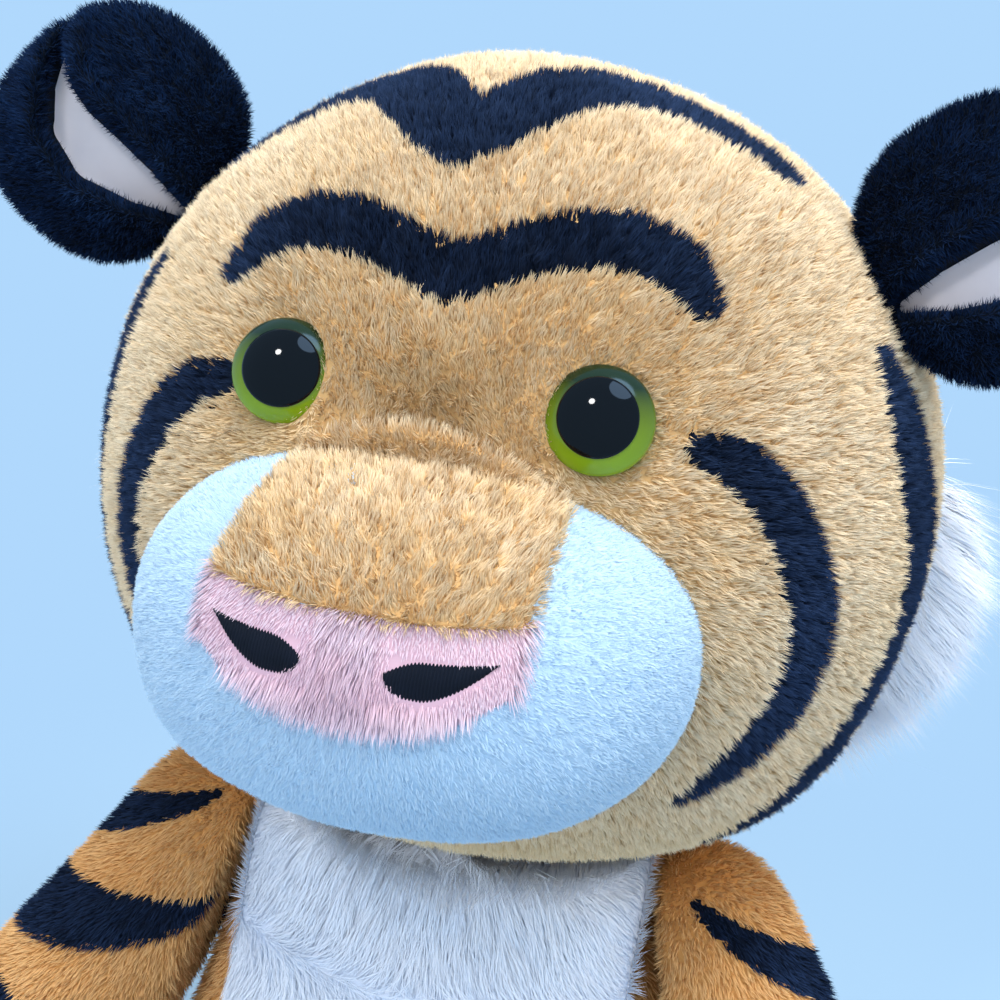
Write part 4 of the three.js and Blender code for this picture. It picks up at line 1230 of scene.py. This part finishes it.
# Eyes


def turned(name, profile, place, axis):
    """A surface turned about an axis from rows of radius and height."""
    across = unit(np.cross(UP, axis))
    up = np.cross(axis, across)
    points = []
    for radius, height in profile:
        for segment in range(EYE_SEGMENTS):
            angle = 2 * math.pi * segment / EYE_SEGMENTS
            ring = across * math.cos(angle) + up * math.sin(angle)
            points.append(place + ring * radius + axis * height)
    return mesh_object(name, points, grid_faces(len(profile), EYE_SEGMENTS, closed=True))


def build_eyes():
    """Green collars and black domes."""
    black = plain_material("Black eye plastic", "#04060A", 0.05, specular=0.22)
    for side_name, side in SIDES.items():
        place, axis = eye_place(side)
        collar = turned(f"iris_{side_name}_collar", COLLAR_PROFILE, place, axis)
        collar.data.materials.append(collar_plastic())
        collar.data.shade_smooth()
        settle(collar, "head", [f"iris_{side_name}"])
        dome = [(PUPIL_RADIUS, PUPIL_SKIRT)]
        for ring in range(DOME_RINGS + 1):
            angle = math.asin(PUPIL_RADIUS / DOME_RADIUS) * (1 - ring / DOME_RINGS)
            radius = max(DOME_RADIUS * math.sin(angle), SMALLEST_RADIUS)
            dome.append((radius, DOME_RADIUS * math.cos(angle) - DOME_CENTRE_DEPTH))
        pupil = turned(f"eye_{side_name}_dome", dome, place, axis)
        pupil.data.materials.append(black)
        pupil.data.shade_smooth()
        settle(pupil, "head", [f"eye_{side_name}"])


# Ears


def ear_axes(side_name):
    """The ear's root point and its directions along the root, out of the head and to the front."""
    side = SIDES[side_name]
    joint = next(j for j in frame["joints"] if j["name"] == f"ear_{side_name}_fold")
    reach = unit(EAR_REACH * (side, 1, 1))
    along = np.array(joint["axis"])
    along = -along if along[2] > 0 else along
    along = unit(along - (along @ reach) * reach)
    return np.array(joint["pos_m"]), along, reach, np.cross(along, reach) * side


def ear_grid():
    """Shares and flat places of the ear's grid: rows of radius share, along and reach."""
    rows = []
    for ring in range(EAR_RINGS):
        share = (ring / (EAR_RINGS - 1)) ** EAR_RING_POWER
        for spoke in range(EAR_SPOKES):
            angle = 2 * math.pi * spoke / EAR_SPOKES
            c, s = math.cos(angle), math.sin(angle)
            size = (abs(c) ** EAR_ROUNDNESS + abs(s) ** EAR_ROUNDNESS) ** (-1 / EAR_ROUNDNESS)
            along = share * size * EAR_HALF_WIDTH * c
            reach = EAR_MIDDLE_REACH + share * size * EAR_HALF_REACH * s
            rows.append((share, along, reach))
    return np.array(rows)


def cleft_distance(grid):
    """Signed distance from the ear's cleft in the ear's plane."""
    flat = np.stack([grid[:, 1], grid[:, 2], np.zeros(len(grid))], axis=1)
    line = [(a * MM, r * MM, 0, w * MM) for a, r, w in CLEFT_LINE]
    return line_distance(flat, line)


def ear_swell(grid, thickness):
    """How far one side of the ear stands out from the ear's plane."""
    return thickness * np.clip(1 - grid[:, 0] ** EAR_RIM_POWER, 0, 1) ** EAR_EDGE_POWER


def ear_front_height(grid):
    """Height of the ear's front without its cleft."""
    lip = CLEFT_LIP * np.exp(-((cleft_distance(grid) - CLEFT_LIP) / CLEFT_LIP_WIDTH) ** 2)
    return ear_swell(grid, EAR_FRONT_THICKNESS) + lip * np.clip(1 - grid[:, 0] ** CLEFT_LIP_POWER, 0, 1)


def ear_points(side_name, grid, height):
    """The ear's grid in the frame, each point at its height over the ear's plane."""
    root, along, reach, front = ear_axes(side_name)
    return root + grid[:, 1:2] * along + grid[:, 2:3] * reach + height[:, None] * front


def build_ears():
    """Black ears with a pale lining in their cleft."""
    settings = bpy.context.scene.tiger_pile
    grid = ear_grid()
    count = len(grid)
    distance = cleft_distance(grid)
    cut = 1 - smooth_step(distance, -CLEFT_WALL, CLEFT_WALL * CLEFT_WALL_OUTER_SHARE)
    back_height = -ear_swell(grid, EAR_BACK_THICKNESS)
    floor_height = CLEFT_FLOOR_SHARE * back_height
    front_height = np.maximum(ear_front_height(grid) - CLEFT_DEPTH * cut, floor_height)
    lining_height = np.maximum(ear_front_height(grid) - CLEFT_DEPTH, floor_height) + LINING_RISE
    inside_rim = (grid[:, 0] < LINING_EDGE_SHARE) | (grid[:, 2] < EAR_MIDDLE_REACH)
    lining_colour = plain_material("Grey lining", "#DDDBE2", 0.9, patch="#CCCAD2", patch_size=6 * MM)
    for side_name in SIDES:
        _, along, reach, front = ear_axes(side_name)
        front_points = ear_points(side_name, grid, front_height)
        faces = faces_towards(front_points, grid_faces(EAR_RINGS, EAR_SPOKES, closed=True), front)
        back_faces = [tuple(count + i for i in reversed(f)) for f in faces]
        both_sides = np.vstack([front_points, ear_points(side_name, grid, back_height)])
        skin = mesh_object(f"ear_{side_name}_fur", both_sides, faces + back_faces)
        points = points_of(skin.data)
        both = np.concatenate([distance, np.full(count, 1.0)])
        mask = (both > -CLEFT_BARE_EDGE) * (head_level(points) > EDGE_COVER_SHARE)
        tone = 0.35 + 0.35 * noise_at(points, 5 * MM, 6.0)
        prepare(skin, reach + 0.3 * along, mask, 1.0, tone)
        ear = cover(skin, black_pile(), length=settings.ear_length, seed=51, **EAR_COAT)
        settle(ear, f"ear_{side_name}", [f"ear_{side_name}"])
        used, lining_faces = kept_faces(faces, (distance < LINING_MARGIN) & inside_rim)
        lining_points = ear_points(side_name, grid, lining_height)[used]
        lining = mesh_object(f"ear_lining_{side_name}_velour", lining_points, lining_faces)
        lining.data.materials.append(lining_colour)
        lining.data.shade_smooth()
        settle(lining, f"ear_{side_name}", [f"ear_lining_{side_name}"])


# Long pile: ruffs and bib


def long_pile_tone(points):
    """Soft light and deep patches of the long pile."""
    return 0.5 + 0.4 * noise_at(points, 6 * MM, 7.0)


def build_ruffs():
    """Long white pile behind the cheeks."""
    for side_name in SIDES:
        node = f"cheek_ruff_{side_name}"
        skin = soft_skin(node, f"{node}_pile", rise=LONG_PILE_RISE)
        points = points_of(skin.data)
        flow = unit((points - HEAD_CENTRE) * (1, 0, 1)) + RUFF_DROP * DOWN
        prepare(skin, flow, head_level(points) > 1.0, 1.0, long_pile_tone(points))
        ruff = cover(skin, long_white_pile(), seed=61, **RUFF_COAT)
        settle(ruff, "head", [node])


def build_bib():
    """Long white pile down the chest."""
    skin = soft_skin("chest_bib", "chest_bib_pile", rise=LONG_PILE_RISE)
    points = points_of(skin.data)
    points[:, 2] += BIB_RISE * smooth_step(points[:, 2], BIB_FLUFF_LOW, BIB_FLUFF_HIGH)
    move_points(skin.data, points)
    top_share = smooth_step(points[:, 2], BIB_FLUFF_LOW, BIB_FLUFF_HIGH)
    flow = DOWN + points * (BIB_SPREAD, 0, 0)
    flow = flow * (1 - top_share[:, None]) + (UP + BIB_CHIN_LEAN * FRONT) * top_share[:, None]
    mask = clear_of(points, ["torso"], BIB_CONTACT_REACH)
    across = np.abs(points[:, 0])
    side_share = smooth_step(across, BIB_SIDE_SHARE * across.max(), across.max())
    pile = (1 - (1 - BIB_TOP_PILE_SHARE) * top_share) * (1 - (1 - BIB_SIDE_PILE_SHARE) * side_share)
    prepare(skin, flow, mask, pile, long_pile_tone(points))
    bib = cover(skin, long_white_pile(), seed=71, **BIB_COAT)
    settle(bib, "torso", ["chest_bib"])


# Body and limbs


def body_cover(skin, flow, near, stripe, seed, share=1.0):
    """Grows the body's short golden pile, but not where the solids near it touch the skin."""
    settings = bpy.context.scene.tiger_pile
    points = points_of(skin.data)
    tone = 0.45 + 0.3 * noise_at(points, 14 * MM, 5.0)
    prepare(skin, flow, share * clear_of(points, near), 1.0, tone, stripe)
    return cover(
        skin, body_pile(), settings.body_density, settings.body_length, settings.body_blade_width, seed=seed,
        **BODY_COAT,
    )


def build_body():
    """The torso, its seat panel and the bag of pellets in it."""
    skin = soft_skin("torso", "torso_fur")
    points = points_of(skin.data)
    top = max(corner[2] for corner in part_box("torso"))
    along, angle = round_axis(points, (0, 0, 0), (0, 0, top), (0, 1, 0))
    near = ["chest_bib", "neck", "arm_left", "arm_right", "leg_left", "leg_right", "tail", "seat_panel"]
    flow = DOWN + 0.1 * unit(points * (1, 1, 0))
    torso = body_cover(skin, flow, near, band_stripes(along, angle, BODY_BANDS), 81, BODY_SHARE)
    settle(torso, "torso", ["torso"])
    skin = soft_skin("seat_panel", "seat_panel_fur", rise=0, voxel=SEAT_VOXEL, lump=0)
    prepare(skin, -FRONT, 0.0, 0.3, 0.4)
    seat = cover(skin, body_pile(), seed=82, **SEAT_COAT)
    settle(seat, "torso", ["seat_panel"])
    bag = soft_skin("pellet_bag", "pellet_bag_cloth", rise=0.2 * MM)
    bag.data.materials.clear()
    bag.data.materials.append(plain_material("Cotton bag", "#D8D0C0", 0.9, patch="#C6BCA8"))
    bag.data.shade_smooth()
    settle(bag, "torso", ["pellet_bag"])


def build_neck():
    """The stuffed neck."""
    neck = body_cover(soft_skin("neck", "neck_fur"), DOWN, ["head", "torso"], 1.0, 91)
    settle(neck, "neck", ["neck"])


def build_arms():
    """Both arms."""
    for side_name, side in SIDES.items():
        node = f"arm_{side_name}"
        skin = soft_skin(node, f"{node}_fur")
        start, end = (np.array(place) * (side, 1, 1) * MM for place in ARM_LINE)
        along, angle = round_axis(points_of(skin.data), start, end, ARM_BAND_SIDE * (side, 1, 1))
        arm = body_cover(skin, unit(end - start), ["torso"], band_stripes(along, angle, ARM_BANDS), 101)
        settle(arm, node, [node])


def build_legs():
    """Both hind legs with their sole panels."""
    for side_name, side in SIDES.items():
        node, sole_node = f"leg_{side_name}", f"foot_sole_{side_name}"
        skin = soft_skin(node, f"{node}_fur")
        start, end = (np.array(place) * (side, 1, 1) * MM for place in LEG_LINE)
        along, angle = round_axis(points_of(skin.data), start, end, LEG_BAND_SIDE * (side, 1, 1))
        stripes = band_stripes(along, angle, LEG_BANDS)
        leg = body_cover(skin, FRONT + 0.3 * DOWN, ["torso", sole_node], stripes, 111, BODY_SHARE)
        settle(leg, node, [node])
        skin = soft_skin(sole_node, f"{sole_node}_fur", rise=0, voxel=SOLE_VOXEL, lump=0)
        points = points_of(skin.data)
        prepare(skin, UP, points[:, 1] < np.median(points[:, 1]), 1.0, 0.6)
        sole = cover(skin, white_pile_painted_cool_shade(), seed=112, **SOLE_COAT)
        settle(sole, node, [sole_node])


def tail_along(points):
    """Each point's way along the tail and the direction of the tail there."""
    best = np.full(len(points), np.inf)
    place, direction = np.zeros(len(points)), np.zeros((len(points), 3))
    walked = 0
    for start, end in zip(TAIL_ROUTE[:-1], TAIL_ROUTE[1:]):
        span = end - start
        length = np.linalg.norm(span)
        share = np.clip((points - start) @ span / length ** 2, 0, 1)
        apart = points - start - share[:, None] * span
        apart = np.linalg.norm(apart * (1, 1, TAIL_HEIGHT_WEIGHT), axis=1)
        nearer = apart < best
        best[nearer] = apart[nearer]
        place[nearer] = walked + share[nearer] * length
        direction[nearer] = span / length
        walked += length
    return place, direction


def build_tail():
    """The ringed tail and its black tip."""
    skin = soft_skin("tail", "tail_fur")
    place, direction = tail_along(points_of(skin.data))
    rings = band_stripes(place, 0 * place, TAIL_BANDS)
    tail = body_cover(skin, direction, ["torso", "tail_tip"], rings, 121)
    settle(tail, "tail", ["tail"])
    skin = soft_skin("tail_tip", "tail_tip_fur")
    tip = body_cover(skin, tail_along(points_of(skin.data))[1], ["tail"], -1.0, 121)
    settle(tip, "tail", ["tail_tip"])


def finish_washers():
    """The washers inside the head keep the frame's solids, in white plastic."""
    white = plain_material("White plastic", "#DAD9D4", 0.5)
    for side_name in SIDES:
        node = frame["nodes"][f"eye_washer_{side_name}"]
        node.data.materials.clear()
        node.data.materials.append(white)


# Stage


def camera_axes():
    """The camera's x, y and z directions."""
    ca, sa = math.cos(CAMERA_AZIMUTH), math.sin(CAMERA_AZIMUTH)
    ce, se = math.cos(CAMERA_ELEVATION), math.sin(CAMERA_ELEVATION)
    back = np.array([sa * ce, -ca * ce, se])
    right = np.array([ca, sa, 0])
    up = np.cross(back, right)
    c, s = math.cos(CAMERA_ROLL), math.sin(CAMERA_ROLL)
    return c * right + s * up, -s * right + c * up, back


def place_camera():
    """The camera at the photograph's viewpoint."""
    x_axis, y_axis, back = camera_axes()
    place = HEAD_CENTRE + CAMERA_DISTANCE * back
    camera_data = bpy.data.cameras.new("camera")
    camera_data.lens = CAMERA_LENS
    camera_data.sensor_width = CAMERA_SENSOR
    camera_data.shift_x, camera_data.shift_y = CAMERA_SHIFT
    camera_data.clip_start = CAMERA_CLIP_START
    camera = bpy.data.objects.new("camera", camera_data)
    bpy.context.scene.collection.objects.link(camera)
    camera.matrix_world = Matrix((
        (x_axis[0], y_axis[0], back[0], place[0]),
        (x_axis[1], y_axis[1], back[1], place[1]),
        (x_axis[2], y_axis[2], back[2], place[2]),
        (0, 0, 0, 1),
    ))
    bpy.context.scene.camera = camera


def area_light(name, place, target, size, power, colour, mirrored_too):
    """A soft round light aimed at a point."""
    light_data = bpy.data.lights.new(name, "AREA")
    light_data.shape = "DISK"
    light_data.size = size
    light_data.energy = power
    light_data.color = linear(colour)
    light = bpy.data.objects.new(name, light_data)
    bpy.context.scene.collection.objects.link(light)
    light.location = place
    light.rotation_mode = "QUATERNION"
    light.rotation_quaternion = (Vector(target) - Vector(place)).to_track_quat("-Z", "Y")
    light.visible_glossy = mirrored_too


def seen_share(tree):
    """1 where the backdrop is seen directly, mirrored or through glass, else 0."""
    rays = tree.nodes.new("ShaderNodeLightPath").outputs
    share = rays["Is Camera Ray"]
    for name in ("Is Glossy Ray", "Is Transmission Ray"):
        share = add_node(tree, MATH, {"operation": "MAXIMUM"}, _0=share, _1=rays[name]).outputs[0]
    return share


def build_world():
    """Soft even light from all round, and a pale blue backdrop."""
    world = bpy.data.worlds.new("Soft room")
    bpy.context.scene.world = world
    world.use_nodes = True
    tree = world.node_tree
    tree.nodes.clear()
    ambient = add_node(
        tree, "ShaderNodeBackground", Color=(*linear(AMBIENT_COLOUR), 1), Strength=AMBIENT_STRENGTH
    ).outputs[0]
    seen = add_node(tree, "ShaderNodeBackground", Color=(*linear(BACKDROP_COLOUR), 1), Strength=1.0)
    mix = add_node(tree, "ShaderNodeMixShader", _0=seen_share(tree), _1=ambient, _2=seen.outputs[0])
    add_node(tree, "ShaderNodeOutputWorld", Surface=mix.outputs[0])


def build_floor():
    """A pale floor that fades into the backdrop away from the toy."""
    corners = [(x * FLOOR_HALF, y * FLOOR_HALF, 0) for x, y in ((-1, -1), (1, -1), (1, 1), (-1, 1))]
    floor = mesh_object("floor", corners, [(0, 1, 2, 3)])
    material = plain_material("Pale floor", FLOOR_COLOUR, 0.9)
    tree = material.node_tree
    place = add_node(tree, "ShaderNodeTexCoord").outputs["Object"]
    apart = add_node(tree, VECTOR_MATH, {"operation": "LENGTH"}, _0=place).outputs["Value"]
    near, far = FLOOR_FADE
    fade = add_node(
        tree, "ShaderNodeMapRange", {"clamp": True, "interpolation_type": "SMOOTHSTEP"}, Value=apart,
        From_Min=near, From_Max=far,
    ).outputs[0]
    share = add_node(tree, MATH, MULTIPLY, _0=fade, _1=seen_share(tree))
    glow = add_node(tree, "ShaderNodeEmission", Color=(*linear(BACKDROP_COLOUR), 1), Strength=1.0)
    surface = tree.nodes["Principled BSDF"].outputs[0]
    mix = add_node(tree, "ShaderNodeMixShader", _0=share.outputs[0], _1=surface, _2=glow.outputs[0])
    tree.links.new(mix.outputs[0], tree.nodes["Material Output"].inputs["Surface"])
    floor.data.materials.append(material)


def build_stage():
    """Floor, lights, world and camera."""
    build_floor()
    place_camera()
    build_world()
    for name, place, size, power, colour, mirrored_too in LIGHTS:
        area_light(name, place, HEAD_CENTRE, size, power, colour, mirrored_too)
    bpy.context.scene.view_settings.view_transform = "Standard"


# Add-on: settings, operators and panel


def length_property(name, description, default):
    """A length that a user can change."""
    return bpy.props.FloatProperty(
        name=name, description=description, default=default, min=0, unit="LENGTH", precision=5
    )


def colour_property(name, description, hex_colour):
    """A colour that a user can change, given by its sRGB hex code."""
    return bpy.props.FloatVectorProperty(
        name=name, description=description, default=linear(hex_colour), min=0, max=1, subtype="COLOR", size=3
    )


class TigerPileSettings(bpy.types.PropertyGroup):
    """Sizes of the pile."""

    head_density: bpy.props.FloatProperty(
        name="Head density", description="Hairs per square millimetre on the head", default=11.5, min=0
    )
    body_density: bpy.props.FloatProperty(
        name="Body density", description="Hairs per square millimetre on the body", default=4.2, min=0
    )
    head_length: length_property("Head pile", "Length of the head's pile", 2.1 * MM)
    ear_length: length_property("Ear pile", "Length of the ears' pile", 1.7 * MM)
    body_length: length_property("Body pile", "Length of the body's pile", 2.2 * MM)
    blade_width: length_property("Head hair width", "Width of a hair of the head", 0.24 * MM)
    body_blade_width: length_property("Body hair width", "Width of a hair of the body", 0.36 * MM)


class TigerColourSettings(bpy.types.PropertyGroup):
    """Colours of the pile and of the eyes' collars."""

    # Each root colour is painted shade among the hairs; the stripes' root colour doubles as their deeper
    # tips' own colour
    gold_root_painted_shade: colour_property("Gold root", "Roots of the head's golden pile", "#C49E69")
    gold_low: colour_property("Gold low", "Deeper tips of the head's golden pile", "#EAD1A2")
    gold_high: colour_property("Gold high", "Paler tips of the head's golden pile", "#FDF3DA")
    body_root_painted_shade: colour_property("Body root", "Roots of the body's golden pile", "#C89050")
    body_low: colour_property("Body low", "Deeper tips of the body's golden pile", "#EBB674")
    body_high: colour_property("Body high", "Paler tips of the body's golden pile", "#FAD9A2")
    stripe_deep_and_painted_root_shade: colour_property("Stripe root", "Roots and deeper tips of the stripes", "#091120")
    # The stripes' paler navy tips are painted sheen
    stripe_high_painted_sheen: colour_property("Stripe high", "Paler tips of the head's stripes", "#33496F")
    body_stripe_high_painted_sheen: colour_property("Body stripe high", "Paler tips of the body's stripes", "#304872")
    black_root_painted_shade: colour_property("Black root", "Roots of the ears' black pile", "#04080F")
    black_low: colour_property("Black low", "Deeper tips of the ears' black pile", "#0C1D3A")
    # The black pile's paler navy tips are painted sheen
    black_high_painted_sheen: colour_property("Black high", "Paler tips of the ears' black pile", "#204070")
    # The white pile's colours are painted cool shade: white darkened and tinted blue
    white_root_painted_shade: colour_property("White root", "Roots of the muzzle's white pile", "#AECAE0")
    white_low_painted_shade: colour_property("White low", "Deeper tips of the muzzle's white pile", "#B7D2E6")
    white_high_painted_shade: colour_property("White high", "Paler tips of the muzzle's white pile", "#C1DAEB")
    long_root_painted_shade: colour_property("Long pile root", "Roots of the long white pile", "#E8F0FC")
    long_low: colour_property("Long pile low", "Deeper tips of the long white pile", "#EFF5FE")
    long_high: colour_property("Long pile high", "Paler tips of the long white pile", "#F6FAFF")
    pink_root_painted_shade: colour_property("Pink root", "Roots of the nose's pink pile", "#CDA8B6")
    pink_low: colour_property("Pink low", "Deeper tips of the nose's pink pile", "#D2B2C2")
    pink_high: colour_property("Pink high", "Paler tips of the nose's pink pile", "#DFDAE8")
    # The collar's painted glow at its low edge and painted shade at its top
    collar_painted_glow: colour_property("Collar low", "Low edge of the eyes' collars", "#7E9C15")
    collar_painted_shade: colour_property("Collar high", "High edge of the eyes' collars", "#12240F")


class TIGER_OT_head(bpy.types.Operator):
    """Builds the head's furry skin"""

    bl_idname = "tiger.head"
    bl_label = "Head"

    def execute(self, context):
        build_head()
        return {"FINISHED"}


class TIGER_OT_muzzle(bpy.types.Operator):
    """Builds the white muzzle"""

    bl_idname = "tiger.muzzle"
    bl_label = "Muzzle"

    def execute(self, context):
        build_muzzle()
        return {"FINISHED"}


class TIGER_OT_bridge(bpy.types.Operator):
    """Builds the golden nose bridge"""

    bl_idname = "tiger.bridge"
    bl_label = "Nose bridge"

    def execute(self, context):
        build_bridge()
        return {"FINISHED"}


class TIGER_OT_nose(bpy.types.Operator):
    """Builds the pink nose"""

    bl_idname = "tiger.nose"
    bl_label = "Nose"

    def execute(self, context):
        build_nose()
        return {"FINISHED"}


class TIGER_OT_nostrils(bpy.types.Operator):
    """Builds the stitched nostrils"""

    bl_idname = "tiger.nostrils"
    bl_label = "Nostrils"

    def execute(self, context):
        build_nostrils()
        return {"FINISHED"}


class TIGER_OT_eyes(bpy.types.Operator):
    """Builds the eyes"""

    bl_idname = "tiger.eyes"
    bl_label = "Eyes"

    def execute(self, context):
        build_eyes()
        return {"FINISHED"}


class TIGER_OT_washers(bpy.types.Operator):
    """Gives the eye washers their plastic"""

    bl_idname = "tiger.washers"
    bl_label = "Eye washers"

    def execute(self, context):
        finish_washers()
        return {"FINISHED"}


class TIGER_OT_ears(bpy.types.Operator):
    """Builds the ears and their linings"""

    bl_idname = "tiger.ears"
    bl_label = "Ears"

    def execute(self, context):
        build_ears()
        return {"FINISHED"}


class TIGER_OT_ruffs(bpy.types.Operator):
    """Builds the long pile behind the cheeks"""

    bl_idname = "tiger.ruffs"
    bl_label = "Cheek ruffs"

    def execute(self, context):
        build_ruffs()
        return {"FINISHED"}


class TIGER_OT_bib(bpy.types.Operator):
    """Builds the long pile of the chest"""

    bl_idname = "tiger.bib"
    bl_label = "Chest bib"

    def execute(self, context):
        build_bib()
        return {"FINISHED"}


class TIGER_OT_body(bpy.types.Operator):
    """Builds the torso, the seat panel and the pellet bag"""

    bl_idname = "tiger.body"
    bl_label = "Body"

    def execute(self, context):
        build_body()
        return {"FINISHED"}


class TIGER_OT_neck(bpy.types.Operator):
    """Builds the neck"""

    bl_idname = "tiger.neck"
    bl_label = "Neck"

    def execute(self, context):
        build_neck()
        return {"FINISHED"}


class TIGER_OT_arms(bpy.types.Operator):
    """Builds both arms"""

    bl_idname = "tiger.arms"
    bl_label = "Arms"

    def execute(self, context):
        build_arms()
        return {"FINISHED"}


class TIGER_OT_legs(bpy.types.Operator):
    """Builds both legs and their soles"""

    bl_idname = "tiger.legs"
    bl_label = "Legs"

    def execute(self, context):
        build_legs()
        return {"FINISHED"}


class TIGER_OT_tail(bpy.types.Operator):
    """Builds the tail and its tip"""

    bl_idname = "tiger.tail"
    bl_label = "Tail"

    def execute(self, context):
        build_tail()
        return {"FINISHED"}


class TIGER_OT_stage(bpy.types.Operator):
    """Builds the floor, lights and camera"""

    bl_idname = "tiger.stage"
    bl_label = "Stage"

    def execute(self, context):
        build_stage()
        return {"FINISHED"}


OPERATORS = [
    TIGER_OT_head, TIGER_OT_muzzle, TIGER_OT_bridge, TIGER_OT_nose, TIGER_OT_nostrils, TIGER_OT_eyes,
    TIGER_OT_washers, TIGER_OT_ears, TIGER_OT_ruffs, TIGER_OT_bib, TIGER_OT_body, TIGER_OT_neck,
    TIGER_OT_arms, TIGER_OT_legs, TIGER_OT_tail, TIGER_OT_stage,
]
SETTINGS = {"tiger_pile": TigerPileSettings, "tiger_colours": TigerColourSettings}


class TIGER_PT_panel(bpy.types.Panel):
    """Lists the steps that build the tiger's looks, and what they read."""

    bl_label = "Plush tiger"
    bl_space_type = "VIEW_3D"
    bl_region_type = "UI"
    bl_category = "Tiger"

    def draw(self, context):
        for group, kind in SETTINGS.items():
            for name in kind.__annotations__:
                self.layout.prop(getattr(context.scene, group), name)
        for operator in OPERATORS:
            self.layout.operator(operator.bl_idname)


CLASSES = [*SETTINGS.values(), *OPERATORS, TIGER_PT_panel]


def register():
    """Registers the settings, the operators and the panel."""
    for item in CLASSES:
        bpy.utils.register_class(item)
    for group, kind in SETTINGS.items():
        setattr(bpy.types.Scene, group, bpy.props.PointerProperty(type=kind))


def unregister():
    """Takes the settings, the operators and the panel out again."""
    for group in SETTINGS:
        delattr(bpy.types.Scene, group)
    for item in reversed(CLASSES):
        bpy.utils.unregister_class(item)


def main():
    """Builds every piece."""
    register()
    for operator in OPERATORS:
        getattr(bpy.ops.tiger, operator.bl_idname.split(".")[1])()
    for name in BLADES:
        blade = bpy.data.objects.get(name)
        if blade:
            bpy.data.objects.remove(blade)


if __name__ == "__main__":
    main()
